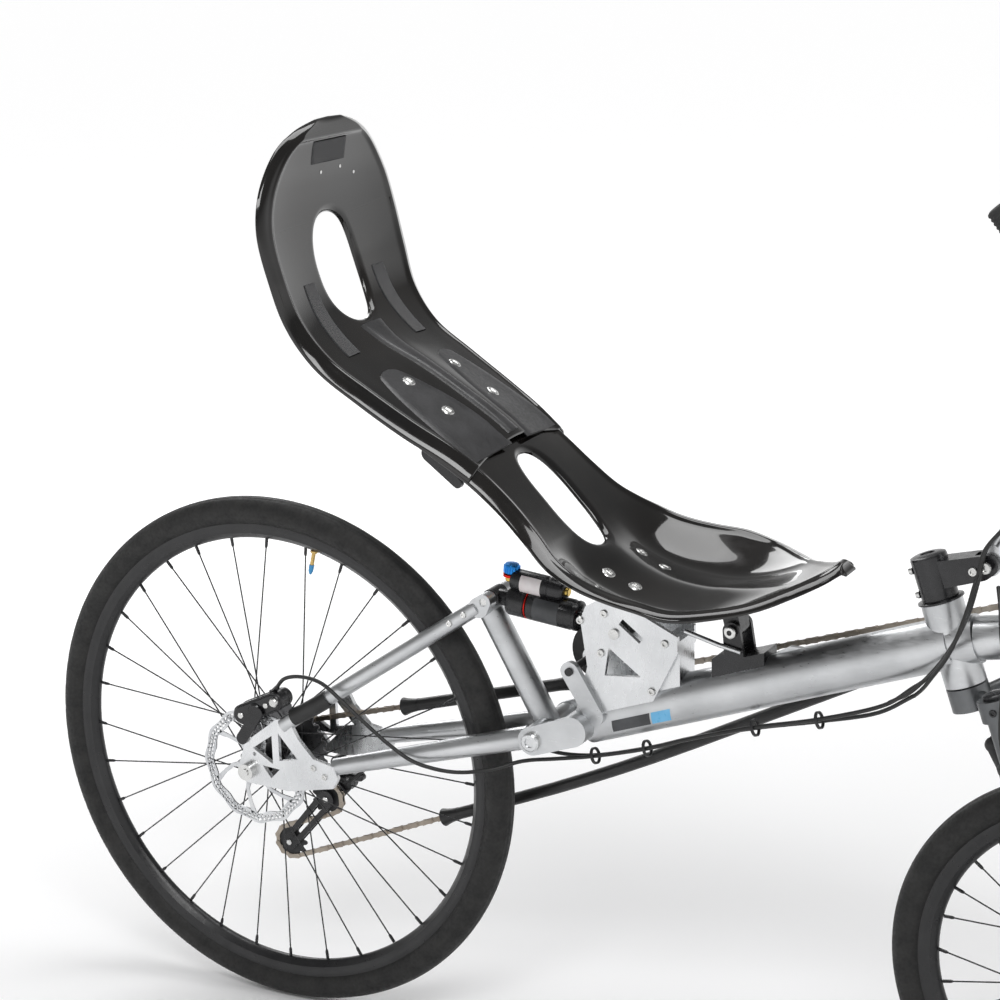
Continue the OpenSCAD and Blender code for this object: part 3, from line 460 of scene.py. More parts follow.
def makeStudio():
    # a pale floor under the wheels, a white sky and three soft panels aimed at the object
    size = studio["floorSize"]
    corners = np.array([(-1, -1, 0), (1, -1, 0), (1, 1, 0), (-1, 1, 0)]) * size
    mesh = bpy.data.meshes.new("floor")
    mesh.from_pydata((corners + base - np.array([0, 0, 0.0005])).tolist(), [], [(0, 1, 2, 3)])
    floor = bpy.data.objects.new("floor", mesh)
    paper = newMaterial("floorPaper", "floor", {"Specular IOR Level": 0.1})
    tint(paper, noise(paper, 3), (studio["floor"], studio["floor"]))
    spread(paper, noise(paper, 60), "Roughness", 0.8, 0.95)
    # painted light: the paper glows more with its distance from the middle, an emission that stands in for
    # the light falling on a lit backdrop
    where = addNode(paper["tree"], "ShaderNodeTexCoord").outputs["Object"]
    away = addNode(paper["tree"], "ShaderNodeVectorMath", {0: where}, operation="LENGTH").outputs["Value"]
    spread(paper, away, "Emission Strength", *studio["paintedGlow"], *studio["glowFrom"])
    paper["shader"].inputs["Emission Color"].default_value = (1, 1, 1, 1)
    mesh.materials.append(paper["material"])
    scene.collection.objects.link(floor)
    world = bpy.data.worlds.new("sky")
    scene.world = world
    world.use_nodes = True
    background = world.node_tree.nodes["Background"]
    # the sky is white along the horizon and dimmer overhead, so that gloss shows its curves
    where = addNode(world.node_tree, "ShaderNodeTexCoord").outputs["Generated"]
    height = addNode(world.node_tree, "ShaderNodeSeparateXYZ", {"Vector": where}).outputs["Z"]
    ramp = addNode(world.node_tree, "ShaderNodeValToRGB", {"Fac": height})
    for element, position, level in zip(ramp.color_ramp.elements, studio["skyAt"], studio["sky"]):
        element.position, element.color = position, (level, level, level, 1)
    world.node_tree.links.new(ramp.outputs["Color"], background.inputs["Color"])
    background.inputs["Strength"].default_value = studio["worldStrength"]
    for name, where, panel, power in studio["lights"]:
        light = bpy.data.lights.new(name, "AREA")
        light.shape, light.size, light.size_y, light.energy = "RECTANGLE", panel[0], panel[1], power
        lamp = bpy.data.objects.new(name, light)
        away = unit(np.array(where))
        side = unit(np.cross((0, 0, 1), away))
        axes = np.stack([side, np.cross(away, side), away], 1)
        lamp.matrix_world = Matrix([(*row, w) for row, w in zip(axes, where)] + [(0, 0, 0, 1)])
        scene.collection.objects.link(lamp)
    scene.view_settings.view_transform = "Standard"


makeCamera()
makeStudio()
print("camera and studio set")

# everything that turns with an axle is worked out in mm about that axle

def aboutAxle(points, centre):
    # (radius, turn, y) grids to points: radius (cos, sin) in the wheel's plane, y along the axle
    r, a, y = points
    return np.stack(np.broadcast_arrays(centre[0] + r * np.cos(a), y, centre[1] + r * np.sin(a)), -1)


rear = dict(name="rear", body="rear_wheel", at=(0, 350), tyreR=350, rimR=311, spokes=32, crosses=3,
            flanges=(-30, 13), lift=0.9, half=60, discY=-57)
front = dict(name="front", body="front_wheel", at=(1091, 243), tyreR=243, rimR=203, spokes=28, crosses=2,
             flanges=(-30, 30), lift=1.8, half=40, discY=-39)
wheelParts = dict(tyreW=40, rimW=24, lip=5, rimDepth=22, bead=1.2, groove=0.8, spokeR=0.95, spokeHole=25,
                  nippleR=2.1, nippleLen=12, rimSpokeY=1.5, hubR=15, flangeR=29)


def makeTyre(wheel):
    # radius = ring + casing cos(a), y = casing sin(a); two bead lines stand up on each wall and fine
    # grooves run round the tread, crossed by shallow cuts that repeat with the turn
    w = wheelParts
    casing = w["tyreW"] / 2
    around = np.linspace(0, 2 * np.pi, 360, endpoint=False)[:, None]
    a = np.linspace(-2.55, 2.55, 61)[None]
    ridge = w["bead"] * 0.5 * (np.exp(-((np.abs(a) - 1.75) / 0.035) ** 2)
                               + 0.8 * np.exp(-((np.abs(a) - 1.15) / 0.03) ** 2))
    groove = w["groove"] * (np.exp(-((np.abs(a) - 0.32) / 0.035) ** 2) + np.exp(-(a / 0.035) ** 2) * 0.6)
    notch = np.clip(np.cos(60 * around + 5 * np.abs(a)) - 0.72, 0, 1) / 0.28
    cuts = 0.45 * notch * np.exp(-((np.abs(a) - 0.72) / 0.22) ** 2)
    r = casing - 0.9 + ridge - groove - cuts
    outer = aboutAxle((wheel["tyreR"] - casing + r * np.cos(a), around, r * np.sin(a)), wheel["at"])
    ends = [(wheel["rimR"] + w["lip"] - 1.5, w["rimW"] / 2 - 2),
            (wheel["rimR"] + w["lip"] - 1.5, 2 - w["rimW"] / 2)]
    floor = np.stack([aboutAxle((radius, around[:, 0], y), wheel["at"]) for radius, y in ends], 1)
    shape = sheetShape(places(np.concatenate([outer, floor], 1)), loopRows=True, loopCols=True)
    piece(wheel["name"] + "TyreCasing", [shape], tyreRubber, wheel["body"], [wheel["name"] + "_tyre"],
          crease=50)


def makeRim(wheel):
    # a closed section turned about the axle: straight walls, narrowing to the spoke bed, with a well outside
    w = wheelParts
    top, half = wheel["rimR"] + w["lip"], w["rimW"] / 2
    low = top - w["rimDepth"]
    side = [(top, -half + 0.2), (top - 1.2, -half), (top - 7, -half), (top - 8, -half + 0.5),
            (top - 14, -half + 1.2), (low + 4.5, -half + 4.4), (low + 1.2, -half + 7.6),
            (low, -half + 10.5)]
    profile = np.array(side + [(r, -y) for r, y in side[::-1]]
                       + [(top - 5, half - 2.5), (top - 5, 2.5 - half)])
    centre = place(wheel["at"][0], 0, wheel["at"][1])
    piece(wheel["name"] + "RimBand", [turned(profile * mm, centre, sides=240, loop=True)], rimBlack,
          wheel["body"], [wheel["name"] + "_rim"])


def spokeEnds(wheel):
    # from the flange hole at angle a to the rim at a + lead * crosses * 4 pi / count, in four sets
    w, n = wheelParts, wheel["spokes"]
    step = 8 * np.pi / n
    sets = []
    for side, flange in zip((-1, 1), wheel["flanges"]):
        for lead in (1, -1):
            a = np.arange(n // 4) * step + (step / 2 if lead < 0 else 0) + (step / 4 if side > 0 else 0)
            y = flange + lead * (2.53 + (wheel["lift"] if lead == side else 0))
            b = a + lead * wheel["crosses"] * 4 * np.pi / n
            low = aboutAxle((w["spokeHole"], a, y), wheel["at"])
            high = aboutAxle((wheel["rimR"] + w["lip"] - w["rimDepth"] - 0.2, b, side * w["rimSpokeY"]),
                             wheel["at"])
            inward = aboutAxle((w["spokeHole"], a, flange - lead * 2.2), wheel["at"])
            sets.append(np.stack([inward, low, high], 1))
    return np.concatenate(sets)


def makeSpokes(wheel):
    # each spoke is a round bar from the flange, with a nipple at the rim and a flat head in the flange
    w = wheelParts
    ends = places(spokeEnds(wheel))
    low, high = ends[:, 1], ends[:, 2]
    along = unit(high - low)
    length = np.linalg.norm(high - low, axis=1)
    k = 0.5 ** 0.5
    ring = np.array([(1, 0), (k, k), (0, 1), (-k, k), (-1, 0), (-k, -k), (0, -1), (k, -k)])
    nip = w["nippleLen"] * mm
    stations = [(0 * length, 0), (0 * length, w["spokeR"]), (length - nip, w["spokeR"]),
                (length - nip, w["nippleR"] * 0.7), (length - nip * 0.8, w["nippleR"]),
                (length, w["nippleR"]), (length, 0)]
    frames = framesAt(low, along, (0, 1, 0))
    rows = [low + along * s[:, None] for s, _ in stations]
    points = np.stack([row[:, None] + r * mm * (ring[None, :, :1] * frames[:, None, :3, 1]
                                                 + ring[None, :, 1:] * frames[:, None, :3, 2])
                       for row, (_, r) in zip(rows, stations)], 1)
    one = gridFaces(len(stations), 8, loopCols=True)
    faces = (one[None] + (np.arange(len(ends)) * len(stations) * 8)[:, None, None]).reshape(-1, 4)
    heads = [turned(np.array([(1.9, 0), (1.9, 0.5), (1.2, 0.9)]) * mm, p[0], p[0] - p[1], sides=10)
             for p in ends]
    piece(wheel["name"] + "SpokeSet", [(points.reshape(-1, 3), [faces])] + heads, anodised, wheel["body"],
          [wheel["name"] + "_spokes"])


def makeHub(wheel):
    # rotor seat, barrel, two flanges with rounded lips and end caps: one profile turned about the axle
    w = wheelParts
    left, right = wheel["flanges"][1], wheel["flanges"][0]
    f, h = w["flangeR"], wheel["half"]
    disc = wheel["discY"]
    profile = [(8, -h), (13, -h), (13, disc - 2), (17, disc - 1.2), (17, disc + 5), (15, disc + 9),
               (15, right - 5), (f - 3, right - 1.5), (f, right - 1), (f, right + 1),
               (f - 3, right + 1.5), (16, right + 4), (12.5, right + 12), (12.5, left - 10),
               (16, left - 4), (f - 3, left - 1.5), (f, left - 1), (f, left + 1), (f - 3, left + 1.5),
               (15.5, left + 4), (15, h - 3), (12, h - 1), (8, h)]
    centre = place(wheel["at"][0], 0, wheel["at"][1])
    collar = turned(np.array([(8, -h), (8.5, -h), (8.5, h), (8, h)]) * mm, centre, sides=48, loop=True)
    body = turned(np.array(profile) * mm, centre, sides=96, loop=True)
    piece(wheel["name"] + "HubShell", [body, collar], anodised, wheel["body"], [wheel["name"] + "_hub"])


discParts = dict(outer=80, wave=1.6, waves=12, bandIn=66, holes=72, hubR=24, arms=6, thick=1.8, screwHigh=1.2)


def makeDisc(wheel):
    # two wavy rings joined by slanted bridges leave rows of slots; slanted arms carry them on an inner ring
    d = discParts
    y0, y1 = wheel["discY"] - d["thick"] / 2, wheel["discY"] + d["thick"] / 2
    c = wheel["at"]
    turn = np.linspace(0, 2 * np.pi, 288, endpoint=False)
    wave = d["wave"] * np.cos(d["waves"] * turn)
    rings = [(d["outer"] - d["wave"] - 0.2 + wave, d["outer"] - 5.2 + 0.6 * wave),
             (d["outer"] - 8 + 0.5 * wave, d["outer"] - 9.6 + 0.5 * wave),
             (d["bandIn"] + 1.6 + 0.4 * wave, d["bandIn"] - 1.4 + wave)]
    shapes = [ringPlate(circle(c, outer, 288), circle(c, inner, 288), y0, y1) for outer, inner in rings]
    n = d["holes"]
    for inner, outer, twist in ((d["bandIn"] + 1, d["outer"] - 9, 0.05),
                                (d["outer"] - 8.5, d["outer"] - 4.6, -0.03)):
        cell = []
        for a in np.arange(n) * 2 * np.pi / n:
            low = c + inner * np.array([np.cos(a), np.sin(a)])
            high = c + outer * np.array([np.cos(a + twist), np.sin(a + twist)])
            side = unit(np.array([low[1] - high[1], high[0] - low[0]])) * 1.1
            cell.append(plate(np.array([low - side, high - side, high + side, low + side]), y0, y1, 0.1))
        shapes += cell
    shapes.append(ringPlate(circle(c, d["hubR"] + 2 * np.cos(6 * turn), 288), circle(c, 17.4, 288), y0, y1))
    for k in range(d["arms"]):
        a = 2 * np.pi * k / d["arms"]
        spokes = [(d["hubR"] - 3, 0.0, 4.0), (d["hubR"] + 12, 0.10, 2.7), (d["bandIn"] - 14, 0.30, 2.6),
                  (d["bandIn"] + 0.5, 0.42, 3.8)]
        line = np.array([c + r * np.array([np.cos(a + t), np.sin(a + t)]) for r, t, _ in spokes])
        along = unit(np.gradient(line, axis=0))
        side = np.stack([-along[:, 1], along[:, 0]], 1) * np.array([s[2] for s in spokes])[:, None]
        shapes.append(plate(np.concatenate([line - side, (line + side)[::-1]]), y0, y1, 0.2))
    piece(wheel["name"] + "BrakeRotor", shapes, discSteel, wheel["body"], [wheel["name"] + "_disc"])
    bolts = [screw(place(p[0], y0 + 0.1, p[1]), (0, -1, 0), 4.2 * mm, discParts["screwHigh"] * mm)
             for p in circle(c, 21, 6, 0.5)]
    piece(wheel["name"] + "RotorScrews", bolts, anodised, wheel["body"])


def makeValve(wheel):
    # a stem through the rim with its nut, and a small cap
    a = np.radians(76 if wheel is rear else 110)
    out = np.array([np.cos(a), 0, np.sin(a)])
    bed = wheel["rimR"] + wheelParts["lip"] - wheelParts["rimDepth"]
    at = lambda r: place(wheel["at"][0], 0, wheel["at"][1]) + out * r * mm
    stem = turned(np.array([(2.6, 0), (2.6, 22), (1.8, 23), (1.8, 30)]) * mm, at(bed + 1), -out, 20)
    nut = turned(np.array([(4.4, 0), (4.8, 0.8), (4.8, 2.6), (4.2, 3.2)]) * mm, at(bed), -out, 12)
    cap = turned(np.array([(3.2, 0), (3.4, 1), (3.1, 9), (1.6, 13), (0.6, 14)]) * mm, at(bed - 20), -out, 20)
    piece(wheel["name"] + "ValveStem", [stem, nut], brass, wheel["body"])
    piece(wheel["name"] + "ValveCap", [cap], capBlue, wheel["body"])


for wheel in (rear, front):
    for make in (makeTyre, makeRim, makeSpokes, makeHub, makeDisc, makeValve):
        make(wheel)
paint(anodised, "rear_axle", "front_axle")
print("wheels made")

# the seat is two shells laid through rows of x, z, half width, and how far the edges stand above the middle

seatBack = dict(rows=[(132, 1184, 30, 2), (127, 1172, 76, 3), (121, 1150, 112, 5), (116, 1110, 143, 9),
                      (117, 1065, 157, 12), (128, 1010, 157, 14), (150, 960, 152, 8),
                      (190, 920, 147, -2), (243, 889, 144, -8), (300, 855, 139, -10),
                      (345, 826, 131, -8), (380, 798, 124, -5)], under=0, hole=(3.82, 6.38, 44),
                holeSquare=0.8, rimEnds=(1, 0), notch=20)
seatPan = dict(rows=[(318, 840, 124, -8), (350, 820, 124, -7), (385, 793, 123, -4), (420, 759, 124, 1),
                     (450, 727, 132, 7), (482, 695, 152, 18), (515, 670, 161, 29), (555, 653, 169, 37),
                     (600, 646, 175, 38), (645, 648, 168, 27), (690, 657, 131, 18), (733, 673, 82, 9),
                     (765, 690, 42, 4), (784, 704, 18, 1), (795, 703, 14, 0)], under=4.35,
               hole=(1.85, 5.1, 33), holeSquare=0.6, rimEnds=(0, 1), notch=0)
shellForm = dict(noRim=999, thick=4, rimWide=17, rimTurn=9, bead=2.2, holeTurn=3.5)


def rowCurve(shell, s):
    # x, z, half width and lift at place s along the rows (cubic between rows), with the side view's normal
    rows = np.array(shell["rows"], float)
    ends = np.concatenate([2 * rows[:1] - rows[1:2], rows, 2 * rows[-1:] - rows[-2:-1]])
    k = np.clip(np.floor(s).astype(int), 0, len(rows) - 2)
    f = (s - k)[..., None]
    a, b, c, d = ends[k], ends[k + 1], ends[k + 2], ends[k + 3]
    value = 0.5 * (2 * b + (c - a) * f + (2 * a - 5 * b + 4 * c - d) * f ** 2
                   + (3 * b - a - 3 * c + d) * f ** 3)
    slope = 0.5 * ((c - a) + 2 * (2 * a - 5 * b + 4 * c - d) * f + 3 * (3 * b - a - 3 * c + d) * f ** 2)
    return value, unit(np.stack([-slope[..., 1], slope[..., 0]], -1))


def onShell(shell, s, y, raised=0.0):
    # centre line + (lift v^2 - under + raised) along the side view's normal, v = y over the half width
    s, y, raised = np.broadcast_arrays(np.asarray(s, float), y, raised)
    value, normal = rowCurve(shell, s)
    up = value[..., 3] * (y / value[..., 2]) ** 2 - shell["under"] + raised
    return np.stack([value[..., 0] + normal[..., 0] * up, y, value[..., 1] + normal[..., 1] * up], -1)


def runAlong(shell, s):
    # distance in mm down the middle from the first row to place s
    fine = np.linspace(0, len(shell["rows"]) - 1, 600)
    value, _ = rowCurve(shell, fine)
    run = np.concatenate([[0], np.cumsum(np.hypot(*np.diff(value[:, :2], axis=0).T))])
    return np.interp(s, fine, run), run[-1]


def backRelief(s, y):
    # a shallow swelling down the middle and a channel each side of it below the oval opening
    low = np.clip((s - 6.2) / 2, 0, 1)
    swelling = 5 * low * np.exp(-(y / 60) ** 2)
    channel = 1.6 * low * np.exp(-((np.abs(y) - 66) / 42) ** 4)
    return swelling - channel + 1.2 * np.cos(y / 40) * (1 - low)


def panRelief(s, y):
    # two hollows for the hips beside a low ridge that starts at the slot and fades to the front
    inside = np.clip((s - 4.4) / 1.2, 0, 1) * np.clip((11.2 - s) / 2.5, 0, 1)
    return inside * (7 * np.exp(-(y / 34) ** 2) - 9 * np.exp(-((np.abs(y) - 84) / 34) ** 2))


def makeShell(name, shell, swell, node):
    # rings run from the opening's edge out to the shell's edge, over the turned rim and back underneath; a
    # ring's points lie on straight lines from the opening, a squared oval, to the outline of the rows
    f = shellForm
    last = len(shell["rows"]) - 1
    s0, s1, holeHalf = shell["hole"]
    middle, reach = (s0 + s1) / 2, (s1 - s0) / 2
    turn = np.linspace(0, 2 * np.pi, 640, endpoint=False)
    c, n = np.cos(turn), np.sin(turn)
    square = shell["holeSquare"]
    holeS = middle + reach * np.sign(c) * np.abs(c) ** square
    holeY = holeHalf * np.sign(n) * np.abs(n) ** 0.92
    span = np.where(c > 0, last - middle, middle)
    stretch = np.minimum(1 / np.maximum(np.abs(c), 1e-9), 1 / np.maximum(np.abs(n), 1e-9))
    edgeS = middle + span * np.clip(c * stretch, -1, 1)
    edgeV = np.clip(n * stretch, -1, 1)
    t = np.concatenate([np.linspace(0, 0.06, 7), np.linspace(0.06, 0.86, 56)[1:],
                        np.linspace(0.86, 1, 24)[1:]])[:, None]
    s = holeS + (edgeS - holeS) * t
    half = rowCurve(shell, s)[0][..., 2]
    holeV = holeY / rowCurve(shell, holeS)[0][..., 2]
    v = holeV + (edgeV - holeV) * t
    y = v * half
    run, total = runAlong(shell, s)
    fromSide = half * (1 - np.abs(v))
    startGap = run if shell["rimEnds"][0] else shellForm["noRim"] + 0 * run
    endGap = total - run if shell["rimEnds"][1] else shellForm["noRim"] + 0 * run
    rim = np.minimum(fromSide, np.minimum(startGap, endGap))
    near = np.clip(1 - rim / f["rimWide"], 0, 1)
    holeGap = np.linalg.norm(onShell(shell, s, y) - onShell(shell, holeS, holeY), axis=-1)
    up = swell(s, y) - f["rimTurn"] * near ** 2.2 + f["bead"] * np.exp(-((rim - f["rimWide"]) / 4) ** 2) \
        - f["holeTurn"] * np.clip(1 - holeGap / 9, 0, 1) ** 2
    s = s - shell["notch"] / total * last * (1 - v ** 2) * np.clip((s - 9) / 2, 0, 1)
    top, under = onShell(shell, s, y, up), onShell(shell, s, y, up - f["thick"])
    outward = unit(top[-1] - top[-3]) * 1.4
    rimMiddle = (top[-1] + under[-1]) / 2 + outward
    holeMiddle = (top[0] + under[0]) / 2 + unit(top[0] - top[2]) * 1.4
    rings = np.concatenate([top, rimMiddle[None], under[::-1], holeMiddle[None]])
    piece(name, [sheetShape(places(rings), loopRows=True, loopCols=True)], shellGloss, "seat", [node],
          crease=60)


makeShell("seatBackShell", seatBack, backRelief, "seat_back")
makeShell("seatPanShell", seatPan, panRelief, "seat_pan")


def shellStrip(shell, swell, stations, height, count=60, across=13, flat=6):
    # a panel laid on a shell between two edges: stations are (s, y left, y right); its top is
    # height (1 - w^flat)^1/2 above the shell, w from -1 to 1 across, and its underside lies in the shell
    path = smoothPath(stations, count)
    s, left, right = path.T
    w = np.linspace(-1, 1, across)
    y = left[:, None] + (right - left)[:, None] * (w + 1) / 2
    spot = s[:, None] + 0 * y
    rise = height * np.sqrt(np.clip(1 - np.abs(w) ** flat, 0, 1)) - 0.8
    top = onShell(shell, spot, y, swell(spot, y) + rise)
    under = onShell(shell, spot, y, swell(spot, y) - 2.0)
    rings = np.concatenate([top, under[:, ::-1]], 1)
    ends = [np.broadcast_to(r.mean(0), (1,) + r.shape) for r in (rings[0], rings[-1])]
    return sheetShape(places(np.concatenate([ends[0], rings, ends[1]])), loopCols=True)


def onBothSides(stations):
    # a strip's (place, left, right) rows, and the same rows mirrored
    return [stations, [(s, -right, -left) for s, left, right in stations]]


seatPanels = dict(
    pad=[(7.78, 62, 76), (7.86, 50, 88), (8.05, 43, 94), (8.4, 35, 101), (8.9, 26, 107), (9.5, 21, 111),
         (10.2, 20, 113), (10.75, 20, 112)],
    spine=[(6.55, -26, 26), (7.0, -20, 20), (7.6, -15, 15), (8.4, -12, 12), (9.4, -12, 12), (10.45, -13, 13)],
    headTape=[(1.55, -38, 38), (1.6, -40, 40), (2.35, -40, 40), (2.4, -38, 38)],
    sideTape=[(5.35, 68, 92), (5.4, 66, 94), (7.0, 66, 94), (7.05, 68, 92)],
    screws=[(8.22, 57), (9.16, 57)],  # on the back shell
    panScrews=[(5.95, 47), (6.75, 43)])


def shellFrames(shell, swell, spots):
    # where a screw sits and which way it faces: the cross product of the shell's two directions
    s, y = [np.array(c, float) for c in zip(*spots)]
    at = lambda ds, dy, raised=0.0: places(onShell(shell, s + ds, y + dy, swell(s + ds, y + dy) + raised))
    facing = unit(np.cross(at(0, 1) - at(0, -1), at(0.01, 0) - at(-0.01, 0)))
    facing *= np.sign(facing[:, 2:])
    return at(0, 0), facing


def makeSeatTrim():
    # padded strips and tapes on the back shell, slotted screw heads on both shells, rivets at the head
    pads = [shellStrip(seatBack, backRelief, st, 2.1, flat=10) for st in onBothSides(seatPanels["pad"])]
    piece("seatPadPanels", pads, shellGrained, "seat")
    piece("seatSpine", [shellStrip(seatBack, backRelief, seatPanels["spine"], 4.6, flat=3)],
          shellGrained, "seat")
    tapes = [shellStrip(seatBack, backRelief, seatPanels["headTape"], 2.0, flat=20, across=25)]
    tapes += [shellStrip(seatBack, backRelief, st, 2.0, flat=20, across=17)
              for st in onBothSides(seatPanels["sideTape"])]
    piece("seatHookTapes", tapes, hookTape, "seat")
    heads = []
    for shell, swell, spots, lift in ((seatBack, backRelief, seatPanels["screws"], 1.0),
                                      (seatPan, panRelief, seatPanels["panScrews"], -0.3)):
        both = [(s, y * side) for s, y in spots for side in (1, -1)]
        for at, facing in zip(*shellFrames(shell, swell, both)):
            ground = at + facing * lift * mm
            heads.append(turned(np.array([(8.2, -1.5), (8.2, 0.6), (7.4, 1.3), (4.6, 1.6), (4.4, 0.9),
                                          (1, 0.7)]) * mm, ground, facing, 32))
            heads.append(bar([ground + facing * 1.2 * mm - unit(np.cross(facing, (0, 1, 0))) * 4 * mm,
                              ground + facing * 1.2 * mm + unit(np.cross(facing, (0, 1, 0))) * 4 * mm],
                             0.9 * mm, square=0.4, sides=8))
    piece("seatScrews", heads, zinc, "seat")
    pins, facing = shellFrames(seatBack, backRelief, [(1.25, -22), (1.3, 8), (2.7, -14), (2.65, 30),
                                                      (2.9, 62)])
    piece("seatRivets", [screw(p, f, 2.2 * mm, 1.6 * mm, 0.3, 12) for p, f in zip(pins, facing)], zinc,
          "seat")


makeSeatTrim()
print("seat made")

# chain, sprockets, guide tubes and derailleur; places in the side view are (x, z) in mm from the ground
# below the rear axle
drive = dict(y=50, pitch=12.7, cogTeeth=[30, 27, 24, 21, 18, 16, 14, 12, 11], usedCog=7, cogStep=4.34,
             cogHalf=0.9, cogInner=17.5, carrierOuter=19.6, rear=(0, 350), bracket=(1380, 700),
             ringTeeth=39, ringInner=58, ringTip=1.4, boltRing=62, armAngle=0.3)
# the wheels and wide bends that the chain goes round: centre, pitch radius, and 1 or -1 for its side
loopWheels = [(np.array(centre, float), radius, side) for centre, radius, side in (
    ((0, 350), 24.5, -1), ((450, 533), 35.0, 1), ((1380, 700), 78.9, -1), ((946, 452), 150.0, 1),
    ((-795, 3100), 3000.0, -1), ((-22, 200), 22.5, -1), ((40, 272), 22.5, 1))]


def chainRuns():
    # the straight runs: each is tangent to a circle and to the next one
    left = lambda h: np.array([-np.sin(h), np.cos(h)])
    count = len(loopWheels)
    headings, ends = [], []
    for i in range(count):
        (c1, r1, s1), (c2, r2, s2) = loopWheels[i], loopWheels[(i + 1) % count]
        d = c2 - c1
        h = np.arctan2(d[1], d[0]) - np.arcsin((s2 * r2 - s1 * r1) / np.hypot(*d))
        headings.append(h)
        ends.append((c1 - s1 * r1 * left(h), c2 - s2 * r2 * left(h)))
    return headings, ends


def chainPath():
    # the closed line through the loop's wheels: the straight runs, and an arc along each circle between them
    headings, ends = chainRuns()
    points = []
    for i in range(len(loopWheels)):
        c, r, s = loopWheels[i]
        h0, h1 = headings[i - 1], headings[i]
        turn = (h1 - h0) * s % (2 * np.pi) * s
        if abs(turn) > 6.0:  # a wide bend that turns the other way by a little
            turn -= 2 * np.pi * s
        steps = max(int(abs(turn) * r / 3), 2)
        h = h0 + np.linspace(0, 1, steps) * turn
        points.append(c - s * r * np.stack([-np.sin(h), np.cos(h)], -1))
        run = np.linspace(0, 1, 40)[1:-1, None]
        points.append(ends[i][0] * (1 - run) + ends[i][1] * run)
    return np.concatenate(points)


def evenly(line, step):
    # points an equal distance apart along a closed line, the nearest distance to the step that closes it
    line = np.concatenate([line, line[:1]])
    run = np.concatenate([[0], np.cumsum(np.hypot(*np.diff(line, axis=0).T))])
    count = int(run[-1] // step)
    at = (np.arange(count) * run[-1] / count) % run[-1]
    return np.stack([np.interp(at, run, line[:, 0]), np.interp(at, run, line[:, 1])], -1)


link = dict(half=10.1, waist=2.9, swell=1.3, roundFrom=0.62, roundBy=0.145, thick=0.9, outerY=2.6, innerY=1.6,
            innerShare=0.93, pinR=1.7, pinEnds=((1.2, 3.2), (-3.2, -1.2)), rollerR=3.6, rollerHalf=1.2)


def linkPlate(wide, y):
    # a figure-eight plate: half height = (waist + swell t^1.5) times a rounding of its last third, t from 0
    # in its middle to 1 at its ends
    t = np.linspace(-1, 1, 9)
    ends = np.sqrt(np.clip(1 - np.clip(np.abs(t) - link["roundFrom"], 0, 1) ** 2 / link["roundBy"], 0.1, 1))
    high = (link["waist"] + link["swell"] * np.abs(t) ** 1.5) * ends * wide
    x = t * link["half"]
    outline = np.concatenate([np.stack([x, high], -1), np.stack([x, -high], -1)[::-1]])
    points, faces = plate(outline, y - link["thick"] / 2, y + link["thick"] / 2, 0.15)
    return points - place(0, 0, 0), faces


def makeChain():
    # one link repeated along the loop; rollers are left out where the chain lies on a wheel
    pins = evenly(chainPath(), drive["pitch"])
    pins = pins[:len(pins) // 2 * 2]
    nextPins = np.roll(pins, -1, 0)
    middle, along = (pins + nextPins) / 2, unit(nextPins - pins)
    outerLink = joined([linkPlate(1, link["outerY"]), linkPlate(1, -link["outerY"])])
    innerLink = joined([linkPlate(link["innerShare"], link["innerY"]),
                        linkPlate(link["innerShare"], -link["innerY"])])
    pin = joined([turned(np.array([(link["pinR"], a), (link["pinR"], b)]) * mm, np.zeros(3), (0, 1, 0), 8)
                  for a, b in link["pinEnds"]])
    roller = turned(np.array([(link["rollerR"], -link["rollerHalf"]),
                              (link["rollerR"], link["rollerHalf"])]) * mm, np.zeros(3), (0, 1, 0), 10)
    at = lambda p: places(np.stack([p[:, 0], np.full(len(p), drive["y"]), p[:, 1]], -1))
    forward = lambda a: np.stack([a[:, 0], 0 * a[:, 0], a[:, 1]], -1)
    up = lambda a: np.stack([-a[:, 1], 0 * a[:, 0], a[:, 0]], -1)
    onWheel = np.any([np.hypot(*(pins - c).T) < r + 3 for c, r, _ in loopWheels if r < 100], axis=0)
    parts = [(outerLink, middle[::2], along[::2]), (innerLink, middle[1::2], along[1::2]), (pin, pins, along),
             (roller, pins[~onWheel], along[~onWheel])]
    shapes = [repeated(shape, framesAt(at(p), forward(a), up(a))) for shape, p, a in parts]
    piece("chain", shapes, chainMetal, "root", ["chain_upper_run", "chain_lower_run"])


def toothed(centre, teeth, y0, y1, inner, tip=2.2, valley=4.3):
    # radius = pitch radius + a wave of the tooth count, flattened at its top and bottom
    turn = np.linspace(0, 2 * np.pi, teeth * 10, endpoint=False)
    wave = np.tanh(1.7 * np.cos(teeth * turn)) / np.tanh(1.7)
    r = drive["pitch"] / 2 / np.sin(np.pi / teeth) + (tip - valley) / 2 + wave * (tip + valley) / 2
    return ringPlate(circle(centre, r, teeth * 10), circle(centre, inner, teeth * 10), y0, y1)


def cylinder(x, z, y0, y1, radius, edge=0.6, sides=40):
    # a cylinder across the bike, with its two rims drawn in
    profile = [(radius - edge, y0), (radius, y0 + edge), (radius, y1 - edge), (radius - edge, y1)]
    return turned(np.array(profile) * mm, place(x, 0, z), (0, 1, 0), sides)


def around(centre, radius, count, start=0.0):
    # places at equal angles round a centre
    return [(centre[0] + radius * np.cos(a), centre[1] + radius * np.sin(a))
            for a in np.linspace(start, 2 * np.pi + start, count, endpoint=False)]


